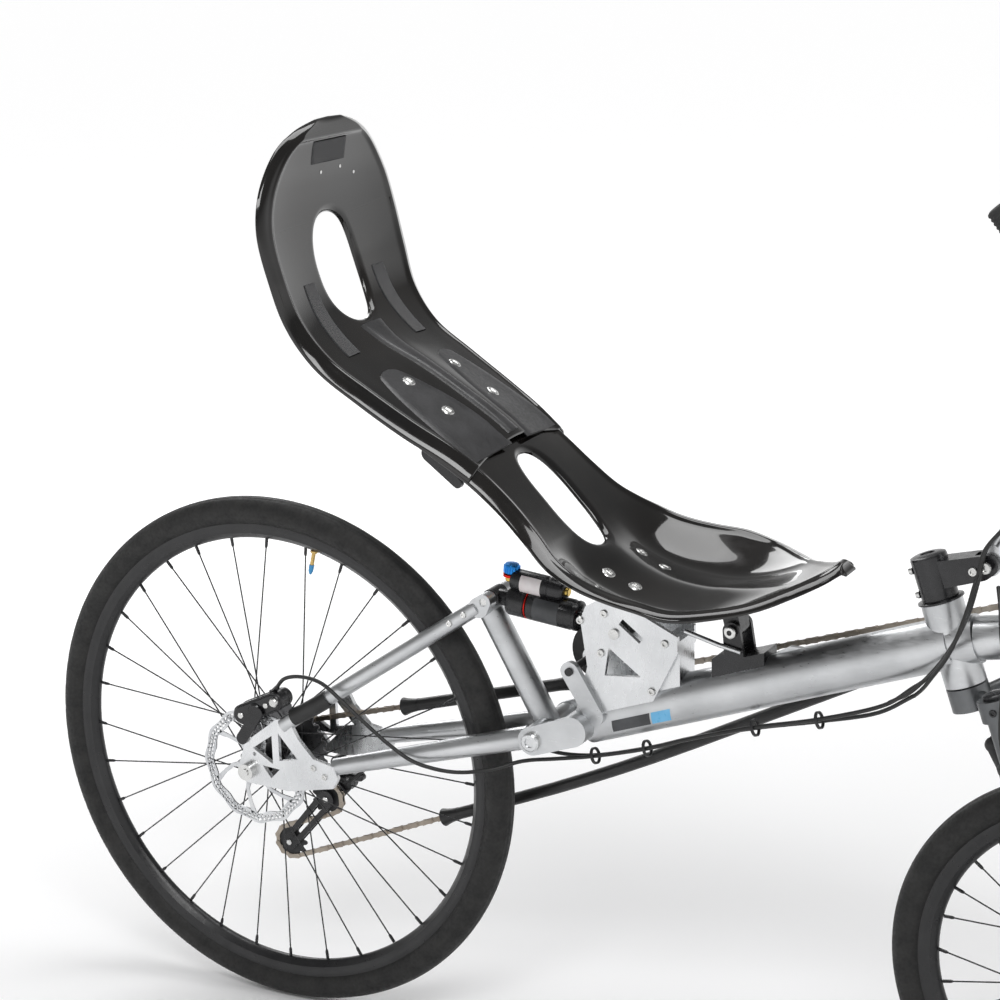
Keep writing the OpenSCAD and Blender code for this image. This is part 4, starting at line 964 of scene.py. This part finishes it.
def makeSprockets():
    # toothed rings side by side on a grooved carrier; a toothed ring, its five arms and bolts at the front
    d, y = drive, drive["y"]
    cogs = [(n, y + (i - d["usedCog"]) * d["cogStep"]) for i, n in enumerate(d["cogTeeth"])]
    rear = [toothed(d["rear"], n, at - d["cogHalf"], at + d["cogHalf"], d["cogInner"]) for n, at in cogs]
    rear.append(ringPlate(circle(d["rear"], d["carrierOuter"]), circle(d["rear"], d["cogInner"]), y - 30,
                          y + 5.5))
    rear += [cylinder(*p, y - 30, y - 4, 1.6, 0.2, 8) for p in around(d["rear"], 19.5, 9)]
    piece("cassetteTeeth", rear, cogMetal, "rear_wheel", ["cassette"])
    ring = toothed(d["bracket"], d["ringTeeth"], y - 0.9, y + 0.9, d["ringInner"], d["ringTip"])
    bolts = around(d["bracket"], d["boltRing"], 5, d["armAngle"])
    arms = [plate(linkOutline(d["bracket"], 23, p, 8), y + 1.5, y + 7, 1.4) for p in bolts]
    piece("chainring", [ring], cogMetal, "crankset", ["chainring"])
    piece("chainringSpider", arms + [cylinder(*d["bracket"], y + 1, 66, 24, 2)], silverPlate, "crankset")
    piece("chainringBolts", [cylinder(*p, y - 2.2, y + 8.2, 4.5, 0.8, 20) for p in bolts], zinc, "crankset")


# each mouth: which straight run, how far along it, and the way that it opens
tubeMouths = dict(at=[(0, 0.38, -1), (0, 0.9, 1), (2, 0.55, -1), (4, 0.32, 1)], length=24, wall=8.2,
                  flare=3.6)


def makeTubeMouths():
    # each guide tube's end opens like a trumpet: radius = wall + flare (how far along)^2
    m = tubeMouths
    shapes = []
    for run, share, out in m["at"]:
        a, b = chainRuns()[1][run]
        spot, along = a + share * (b - a), unit(b - a) * out
        t = np.linspace(0, 1, 9)
        outer = np.stack([m["wall"] + m["flare"] * t ** 2, (t - 0.8) * m["length"]], 1)
        profile = np.concatenate([outer, (outer - (1.4, 0))[::-1]]) * mm
        shapes.append(turned(profile, place(spot[0], drive["y"], spot[1]), (along[0], 0, along[1]), 36,
                             loop=True))
    piece("chainTubeMouths", shapes, hoseBlack, "root")


# bodyPlates: two ends with their radii, the y of two faces and the bevel; barrels: x, z, y, y, radius, edge
derailleur = dict(jockeys=[(40, 272), (-22, 200)], cage=((40, 272), 12, (-22, 200), 10.5),
                  window=((30, 260), 4, (-12, 212), 3.2), cageFaces=((43, 44.8), (55.2, 57)),
                  bodyPlates=[((40, 272), 13, (60, 292), 12, 57.2, 66, 2.5),
                              ((60, 292), 12, (46, 316), 10.5, 65.5, 80, 3),
                              ((66, 300), 5, (84, 303), 5, 60, 72, 2)],
                  barrels=[(40, 272, 56, 72, 12.5, 2.5), (60, 292, 57, 80.5, 11.5, 2),
                           (46, 316, 65.5, 82, 10.5, 1.5)],
                  screws=[(46, 316, 81.5, 83.6, 5.5, 0.8, 20), (72, 298, 71.5, 74.5, 3.4, 0.6, 16)],
                  jockeyScrews=((56.8, 59.2), (41.2, 43.4)))


def makeDerailleur():
    # two toothed jockey wheels in a windowed cage, hung from a body of rounded plates and barrels
    d = derailleur
    jockeys = [toothed(c, 11, 48.9, 51.1, 4.2, 2.0, 4.3) for c in d["jockeys"]]
    jockeys += [cylinder(*c, 45, 55, 5.2) for c in d["jockeys"]]
    piece("jockeyWheels", jockeys, plastic, "root")
    sides = [ringPlate(linkOutline(*d["cage"]), linkOutline(*d["window"]), *faces)
             for faces in d["cageFaces"]]
    body = [plate(linkOutline(*p[:4]), *p[4:]) for p in d["bodyPlates"]] + [cylinder(*b)
                                                                            for b in d["barrels"]]
    piece("derailleurBody", sides + body, anodised, "root", ["rear_derailleur"])
    pins = [cylinder(*c, *ends, 4, 0.6, 20) for ends in d["jockeyScrews"] for c in d["jockeys"]]
    piece("derailleurScrews", pins + [cylinder(*s) for s in d["screws"]], zinc, "root")


# the right crank points forward and the left one back
crank = dict(at=drive["bracket"], pedals=[("rightPedal", "right_pedal", 1550, -1),
                                          ("leftPedal", "left_pedal", 1210, 1)], arm=(66, 78), hubR=17.5,
             eyeR=13.5, rib=(77.5, 78.6), spindle=66, cap=(77.5, 80), pedalHalf=46, pedalHigh=12,
             plates=((90, 97), (174, 181)), rods=(-42, -21, 21, 42), rodZ=(692, 708), axle=(78.2, 92))


def across(side, low, high):
    # two distances from the middle, as rising y on the given side
    return sorted((side * low, side * high))


def makeCranks():
    # arms are rounded links with a raised rib; a pedal is two end plates, thin rods and a barrel on its axle
    c, (x0, z) = crank, crank["at"]
    arms = []
    for _, _, x, side in c["pedals"]:
        rib = linkOutline((x0 + 0.16 * (x - x0), z), 6, (x - 0.13 * (x - x0), z), 5)
        arms.append(plate(linkOutline(c["at"], c["hubR"], (x, z), c["eyeR"], 30),
                          *across(side, *c["arm"]), 3))
        arms.append(plate(rib, *across(side, *c["rib"]), 0.6))
    arms.append(cylinder(x0, z, -c["spindle"], c["spindle"], 12))
    piece("crankArms", arms, anodised, "crankset", ["cranks"])
    caps = [cylinder(x0, z, *across(side, *c["cap"]), 8.5, 1) for side in (-1, 1)]
    piece("crankCaps", caps, zinc, "crankset")
    half, high = c["pedalHalf"], c["pedalHigh"]
    quarter = [(-half, -high + 2), (-half + 6, -high), (half - 6, -high), (half, -high + 2)]
    for name, node, x, side in c["pedals"]:
        corners = quarter + [(-dx, -dz) for dx, dz in quarter]
        outline = rounded(np.array([(x + dx, z + dz) for dx, dz in corners]), 4)
        bars = [plate(outline, *across(side, *faces), 1.5) for faces in c["plates"]]
        bars += [bar(places([(x + dx, side * 92, rodZ), (x + dx, side * 179, rodZ)]), 3 * mm, sides=8)
                 for dx in c["rods"] for rodZ in c["rodZ"]]
        bars.append(cylinder(x, z, *across(side, 90, 176), 10, 3))
        piece(name + "Body", bars, plastic, node, [node])
        piece(name + "Axle", [cylinder(x, z, *across(side, *c["axle"]), 6.6, 1)], zinc, node)


makeChain()
makeTubeMouths()
makeSprockets()
makeDerailleur()
makeCranks()
paint(hoseBlack, "chain_tubes")
print("drive made")

# frame, swingarm, shock and seat mounts: CAD nodes that keep their shape take these finishes

paint(silver, "frame", "boom", "chainstays", "seatstays", "swingarm_strut")
paint(silverPlate, "rear_dropouts", "seat_bracket", "seat_strut")
paint(anodised, "front_seat_mount", "seat_clamp", "seat_hinge_lug", "stem", "rear_caliper", "front_caliper")
paint(zinc, "pivot_bolt", "rear_axle", "front_axle")
paint(crownGrey, "fork_crown")
paint(plastic, "fork_lowers", "idler", "brake_levers")
paint(silverPlate, "handlebar_mast")
paint(anodised, "handlebar")
paint(rubber, "grips")

shockAt = dict(rear=(333, 606), along=(0.9935, -0.1135), lift=(0.1135, 0.9935))


def onShock(s, up=0.0, y=0.0):
    # s mm down the shock from its rear eye, up mm above its axis
    a = shockAt
    return place(a["rear"][0] + s * a["along"][0] + up * a["lift"][0], y,
                 a["rear"][1] + s * a["along"][1] + up * a["lift"][1])


def alongShock(profile, up=0.0, y=0.0, sides=48):
    # (distance along, radius) pairs turned about a line beside the shock's axis
    a = shockAt["along"]
    return turned(np.array([(r, s) for s, r in profile]) * mm, onShock(0, up, y), (a[0], 0, a[1]), sides)


def makeShock():
    # turned bodies, rings and a fluted knob; radius along the axis is given pair by pair
    lift = np.array([shockAt["lift"][0], 0, shockAt["lift"][1]])
    body = [alongShock([(20, 14), (22, 17.5), (25, 19), (46, 19), (47, 17.6), (50, 17.6), (51, 19),
                        (108, 19), (110, 17.8), (112, 17.8), (113, 19), (116.5, 18.6), (118, 16)]),
            alongShock([(2, 8), (6, 10), (22, 10)]), alongShock([(22, 9), (24, 12.5), (28, 14), (70, 14),
                                                                 (71.5, 13), (74, 13), (75.5, 14),
                                                                 (92, 13.4), (95, 11), (96, 7)], up=27),
            turned(np.array([(8, -14.3), (11, -13.5), (11, 13.5), (8, 14.3)]) * mm, onShock(0),
                   (0, 1, 0), 40)]
    body += [bar([onShock(30, 8), onShock(30, 24)], 9 * mm, 7 * mm, square=0.5),
             bar([onShock(78, 12), onShock(78, 24)], 6 * mm, 8 * mm, square=0.5)]
    piece("shockBodyParts", body, anodised, "root", ["shock_body"])
    turnPart = lambda profile, s, up=0.0, sides=32: turned(np.array(profile) * mm, onShock(s, up), lift,
                                                           sides)
    flutes = np.linspace(0, 2 * np.pi, 18, endpoint=False)
    knob = [turnPart([(8.6, 34), (9.6, 35), (9.6, 44), (8.4, 46), (3, 47)], 20)]
    side = np.cross(lift, (0, 1, 0))
    knob += [bar([onShock(20, 35.5) + (np.cos(a) * side + np.sin(a) * np.array([0, 1, 0])) * 9.6 * mm,
                  onShock(20, 44) + (np.cos(a) * side + np.sin(a) * np.array([0, 1, 0])) * 9.6 * mm],
                 0.9 * mm, sides=6) for a in flutes]
    piece("shockKnob", knob, blue, "root")
    piece("shockRedRings", [turnPart([(9.4, 29.5), (10.4, 30), (10.4, 33), (9.6, 33.8)], 20),
                            alongShock([(47.4, 17.9), (48, 18.8), (49.2, 18.8), (49.8, 17.9)])], red,
          "root")
    piece("shockGoldParts", [turnPart([(6.4, 24), (7.2, 25), (7.2, 29), (6.6, 29.6)], 20),
                             alongShock([(96, 5), (96, 6), (99, 6), (100, 4.8)], up=27)], gold, "root")
    label = []
    turn = np.linspace(-0.85, 0.85, 16)
    for radius, s0, s1, up in ((14.25, 38, 66, 27), (19.25, 60, 94, 0)):
        s = np.linspace(s0, s1, 8)[:, None]
        a = shockAt
        rings = [np.stack([a["rear"][0] + s * a["along"][0] + (up + r * np.sin(turn)) * a["lift"][0],
                           -r * np.cos(turn) + 0 * s, a["rear"][1] + s * a["along"][1]
                           + (up + r * np.sin(turn)) * a["lift"][1]], -1) for r in (radius, radius - 0.8)]
        label.append(sheetShape(places(np.concatenate([rings[0], rings[1][:, ::-1]], 1)), loopCols=True))
    piece("shockLabels", label[:1], labelWhite, "root")
    piece("shockLabelDark", label[1:], stickerDark, "root")
    piece("shockShaftRod", [alongShock([(96, 6), (98, 8), (168, 8), (170, 6)])], chrome, "root",
          ["shock_shaft"])
    piece("shockBumper", [alongShock([(152, 9), (153, 13)] + [(154 + 2.4 * k + d, r) for k in range(4)
                                                              for d, r in ((0, 13.6), (1.2, 12.2))]
                                     + [(164, 9)]), turned(np.array([(9, -14), (12.5, -13), (12.5, 13),
                                                                     (9, 14)]) * mm, onShock(176),
                                                           (0, 1, 0), 36)], plastic, "root")
    piece("shockRedSeal", [alongShock([(141, 8.2), (141.6, 9.4), (143, 9.4), (143.6, 8.2)])], red, "root")
    ends = [turned(np.array([(4.2, -31.4), (6.6, -31), (6.6, -28), (5, -28)]) * mm * (1, side),
                   onShock(s), (0, 1, 0), 24) for side in (1, -1) for s in (0, 176)]
    piece("shockPins", ends, zinc, "root")


def headAt(x, y, z, side=-1, radius=5.0, height=2.6):
    # a socket screw whose head faces the near side or the far side
    return screw(place(x, y, z), (0, side, 0), radius * mm, height * mm, 0.5, 20)


def makeFrameTrim():
    # screw heads, caps, a sleeve, thin stickers that follow the main tube, cable ties and the thin mount bar
    heads = [headAt(*spot, side) for side in (-1, 1) for spot in ((490, side * 28, 560),
                                                                  (495, side * 28, 610),
                                                                  (556, side * 28, 520),
                                                                  (574, side * 28, 582),
                                                                  (463, side * 28, 598))]
    piece("bracketScrews", heads, zinc, "root")
    piece("pivotCaps", [turned(np.array([(11.4, 0), (12, 0.8), (12, 2), (10, 3.4), (6, 3.6), (5.6, 1.4),
                                         (3, 1.2)]) * mm, place(405, side * 56.2, 443), (0, side, 0), 36)
                        for side in (-1, 1)], silverPlate, "root")
    slits = [bar(places([(x0, y, z0), (x1, y1, z1)]), 1.6 * mm, 0.7 * mm, square=0.6, sides=8)
             for x0, y, z0, x1, y1, z1 in ((296, -37.3, 577, 150, -61, 485),)]
    piece("seatstaySlit", slits, plastic, "root")
    path = smoothPath([(70, -66.8, 431), (90, -63.8, 442), (120, -59.4, 461)], 12)
    piece("seatstaySleeve", [bar(places(path), 11.2 * mm, sides=32)], hoseBlack, "root")
    stay = lambda t: np.array([322, -26, 597]) + t * (np.array([54, -68, 418]) - np.array([322, -26, 597]))
    top = [screw(place(*(stay(t) + np.array([-0.4, -10, 0.3]))), (0.1, -1, 0.1), 4 * mm, 2.2 * mm, 0.5,
                 18) for t in (0.05, 0.12)]
    piece("seatstayScrews", top, zinc, "root")
    piece("dropoutScrews", [headAt(x, side * 73, z, side, 4.2, 2.2) for side in (-1, 1) for x,
                            z in ((116, 358), (100, 368), (58, 418))], zinc, "root")
    decal = np.linspace(-0.6, -0.06, 14)
    band = lambda x0, x1, r: [np.stack([x + 0 * decal, -r * np.cos(decal),
                                        463 + (x - 460) * 157 / 456 + r * np.sin(decal) * 1.04], -1)
                              for x in np.linspace(x0, x1, 12)]
    for name, finish, x0, x1 in (("tubeDecal", stickerDark, 503, 553), ("tubeSpot", stickerBlue, 555, 580)):
        outer, inner = np.array(band(x0, x1, 30.25)), np.array(band(x0, x1, 29.4))
        piece(name, [sheetShape(places(np.concatenate([outer, inner[:, ::-1]], 1)), loopCols=True)],
              finish, "root")
    ties = []
    for x in (470, 540, 680, 760):
        z = np.interp(x, [470, 540, 680, 760, 840], [419, 439, 486, 507, 533])
        ties.append(turned(np.array([(9.2, -2), (10.6, -1.8), (10.6, 1.8), (9.2, 2), (7.5, 0)]) * mm,
                           place(x, -9, z), (0.95, 0, 0.3), 24, loop=True))
    piece("cableTies", ties, plastic, "root")
    piece("mountBar", [bar(places([(598, -24, 600), (640, -23, 588), (668, -22, 582)]), 3 * mm,
                           sides=12)], silverPlate, "root")
    piece("hingePinHeads", [turned(np.array([(6.6, 0), (7.4, 0.8), (7.4, 3.4), (6, 4.4), (3.2, 4.4),
                                             (3, 2)]) * mm, place(655, side * 22, 605), (0, side, 0), 28)
                            for side in (-1, 1)], zinc, "root")


def makeCalipers():
    # body halves, a banjo fitting with its bolt, and screws; both calipers share the form
    for name, a, b, y0, y1, body in (("rearCaliper", (-8, 424), (42, 448), -71, -43, "root"),
                                     ("frontCaliper", (1024, 296), (1046, 334), -53, -29, "steering")):
        a, b = np.array(a, float), np.array(b, float)
        middle, along = (a + b) / 2, unit(b - a)
        outer = [plate(linkOutline(a, 13.2, b, 12.6, 24), y0 - 1.5, (y0 + y1) / 2 - 2.6, 3.2),
                 plate(linkOutline(a, 13.2, b, 12.6, 24), (y0 + y1) / 2 + 2.6, y1 + 0.5, 3.2),
                 cylinder(*(middle - along * 3), y0 - 5, y0 - 1, 9, 2)]
        piece(name + "Body", outer, anodised, body)
        banjo = [cylinder(*(b + along * 4), y0 - 7, y0 - 1, 6, 1.2),
                 cylinder(*a, y0 - 3.2, y0 - 1, 4.2, 0.6, 18),
                 cylinder(*(b - along * 12), y0 - 3, y0 - 1, 3.6, 0.6, 18)]
        piece(name + "Screws", banjo, zinc, body)


makeShock()
makeFrameTrim()
makeCalipers()
print("frame details made")

# fork, stem, bars and cables

headAxis = dict(base=(916, 620), lean=72.0)


def onAxis(up, forward=0.0, y=0.0):
    # up mm along the steering axis from the head tube's middle, forward mm square to it
    a = np.radians(headAxis["lean"])
    x, z = headAxis["base"]
    return place(x - up * np.cos(a) + forward * np.sin(a), y, z + up * np.sin(a) + forward * np.cos(a))


def makeFork():
    # turned seals, caps and dials on each leg, a ring under the head tube and a curved arch between the legs
    seals, dials = [], []
    for side in (-1, 1):
        spot = lambda up, out=0.0: onAxis(up, 51, side * (60 + out))
        axis = onAxis(1, 0) - onAxis(0, 0)
        seals.append(turned(np.array([(15.6, -142), (20.4, -140), (20.8, -137), (20.8, -133),
                                      (17.5, -130), (16.2, -129)]) * mm, spot(0), axis, 40))
        dials.append(turned(np.array([(13, -57), (13.6, -55), (13.6, -52), (11, -50), (5, -49.4)]) * mm,
                            spot(0), axis, 40))
        dials.append(screw(spot(-68) + np.array([0, side * 19.4 * mm, 0]), (0, side, 0), 4.4 * mm,
                           2.4 * mm, 0.5, 18))
    piece("forkSeals", seals, rubber, "steering")
    piece("forkCaps", dials, anodised, "steering")
    axis = onAxis(1, 0) - onAxis(0, 0)
    rings = [turned(np.array([(24.6, h0), (26.6, h0 + 0.8), (26.6, h1 - 0.8), (24.6, h1), (15.4, h1),
                              (15.4, h0)]) * mm, onAxis(0), axis, 48, loop=True) for h0,
             h1 in ((49.2, 52.6),)]
    piece("headRings", rings, anodised, "steering")
    arch = smoothPath([onAxis(-150, 51 + 16, -50), onAxis(-122, 51 + 24, -40), onAxis(-110, 51 + 27, 0),
                       onAxis(-122, 51 + 24, 40), onAxis(-150, 51 + 16, 50)], 40)
    piece("forkArch", [bar(arch, 8.5 * mm, 6 * mm, up=(0.3, 0, 0.9), square=0.7, sides=20)], plastic,
          "steering")


def makeStem():
    # a domed cap and the clamp's screws
    axis = onAxis(1, 0) - onAxis(0, 0)
    cap = turned(np.array([(21, 100), (20.4, 103), (16, 104.6), (9, 105), (8, 103.6),
                           (4.5, 103.2)]) * mm, onAxis(0), axis, 44)
    piece("stemCap", [cap], anodised, "steering")
    bolts = [screw(onAxis(up, -21, y), unit(onAxis(0, -1) - onAxis(0, 0)), 4.4 * mm, 3.4 * mm, 0.5, 18)
             for up in (62, 90) for y in (-6, 6)]
    bolts += [screw(place(941, -16, 709), (0, -1, 0), 5.4 * mm, 3 * mm, 0.5, 20),
              screw(place(957, -24.4, 717), (0, -1, 0), 7 * mm, 3 * mm, 0.5, 20),
              screw(place(957, 24.4, 717), (0, 1, 0), 7 * mm, 3 * mm, 0.5, 20)]
    piece("stemScrews", bolts, zinc, "steering")


def makeGrips():
    # a grip's radius = 15.4 + 0.5 |cos|^0.5 of its ribs with their sign, drawn in at both ends
    turnedAxis = unit(np.array([-np.cos(np.radians(52)), 0, np.sin(np.radians(52))]))
    shapes = []
    s = np.linspace(0, 122, 160)
    r = 15.4 + 0.5 * np.sign(np.cos(s * 1.4)) * np.abs(np.cos(s * 1.4)) ** 0.5 - 3 * np.exp(-s / 1.5)
    r = np.concatenate([r, [15, 12, 6]])
    s = np.concatenate([s, [123.5, 125.2, 126]])
    for side in (-1, 1):
        start = place(1131.9 - 60 * np.cos(np.radians(52)), side * 210, 996.9 + 60 * np.sin(np.radians(52)))
        shapes.append(turned(np.stack([r, s], 1) * mm, start, turnedAxis, 36))
    piece("gripRibs", shapes, rubber, "handlebars", ["grips"])


hoseRoutes = dict(rear_brake_hose=[(40, -62, 462), (60, -68, 482), (90, -73, 490), (120, -75, 486),
                                   (148, -76, 468), (180, -74, 442), (215, -72, 416), (250, -69, 397),
                                   (296, -58, 388), (340, -42, 392), (376, -22, 402), (420, -14, 409),
                                   (470, -14, 420), (540, -14, 440), (600, -14, 462), (680, -14, 488),
                                   (760, -16, 510), (840, -22, 540), (882, -30, 572)],
                  shift_cable=[(71, 60, 298), (110, 58, 330), (160, 40, 360), (230, 36, 384),
                               (300, 30, 398), (345, 28, 406), (376, 14, 410), (420, -2, 412),
                               (470, -4, 418), (540, -4, 438), (600, -4, 460), (680, -4, 484),
                               (760, -4, 504), (830, -10, 526), (880, -28, 560)],
                  front_brake_hose=[(975, -34, 700), (986, -62, 686), (996, -92, 668), (1005, -112, 645),
                                    (1006, -116, 615), (1003, -112, 580), (1002, -103, 545),
                                    (1008, -89, 503), (1019, -82.2, 465), (1031, -82, 420),
                                    (1036, -84, 370), (1042, -78, 336)])


def makeHoses():
    # smooth curves through each hose's own points
    for node, body in (("rear_brake_hose", "root"), ("shift_cable", "root"),
                       ("front_brake_hose", "steering")):
        path = smoothPath(hoseRoutes[node], 16 * len(hoseRoutes[node]))
        piece(node.replace("_", "") + "Smooth", [bar(places(path), 2.5 * mm, sides=12)], hoseBlack, body,
              [node])
    front = hoseRoutes["front_brake_hose"]
    ends = [turned(np.array([(2.6, -8), (3.6, -7), (3.6, 5), (4.4, 6), (4.4, 10), (3, 11)]) * mm,
                   place(*front[-1]), (0.12, 0.3, -0.9), 6),
            turned(np.array([(2.6, -8), (3.6, -7), (3.6, 5), (4.4, 6), (4.4, 9), (3, 10)]) * mm,
                   place(40, -62, 462), (-0.7, 0.2, -0.6), 6)]
    piece("hoseEndFront", ends[:1], anodised, "steering")
    piece("hoseEndRear", ends[1:], anodised, "root")


def makeCables():
    # three cables leave the frame, hang to the stem and climb the mast
    starts = [(830, -10, 526), (840, -22, 540), (850, -26, 547)], [(880, -28, 560), (882, -30, 572),
                                                                   (878, -33, 566)]
    for k, dy in enumerate((-7, 0, 7)):
        low = smoothPath([starts[0][k], starts[1][k], (908, -43 + dy * 0.7, 594 + k * 3),
                          (930, -52 + dy, 628 + k * 3), (944, -46 + dy, 668), (950, -34 + dy, 700),
                          (952, -29 + dy * 0.6, 712)], 70)
        low = low[(low[:, 0] >= starts[1][k][0] - (60 if k == 2 else 2))]
        obj = piece("stemCable%d" % k, [bar(places(low), 2.3 * mm, sides=10)], hoseBlack, None)
        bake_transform(obj)
        high = smoothPath([(952, -29 + dy * 0.6, 712), (958, -23.5 + dy * 0.5, 740),
                           (985, -19.5 + dy * 0.3, 775), (1020, -18 + dy * 0.3, 825),
                           (1065, -18 + dy * 0.4, 893), (1105, -19 + dy * 0.5, 953)], 60)
        obj = piece("mastCable%d" % k, [bar(places(high), 2.3 * mm, sides=10)], hoseBlack, None)
        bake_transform(obj)


makeFork()
makeStem()
makeGrips()
makeHoses()
makeCables()
print("front made")

# the scene is brought up to date
bpy.context.view_layer.update()
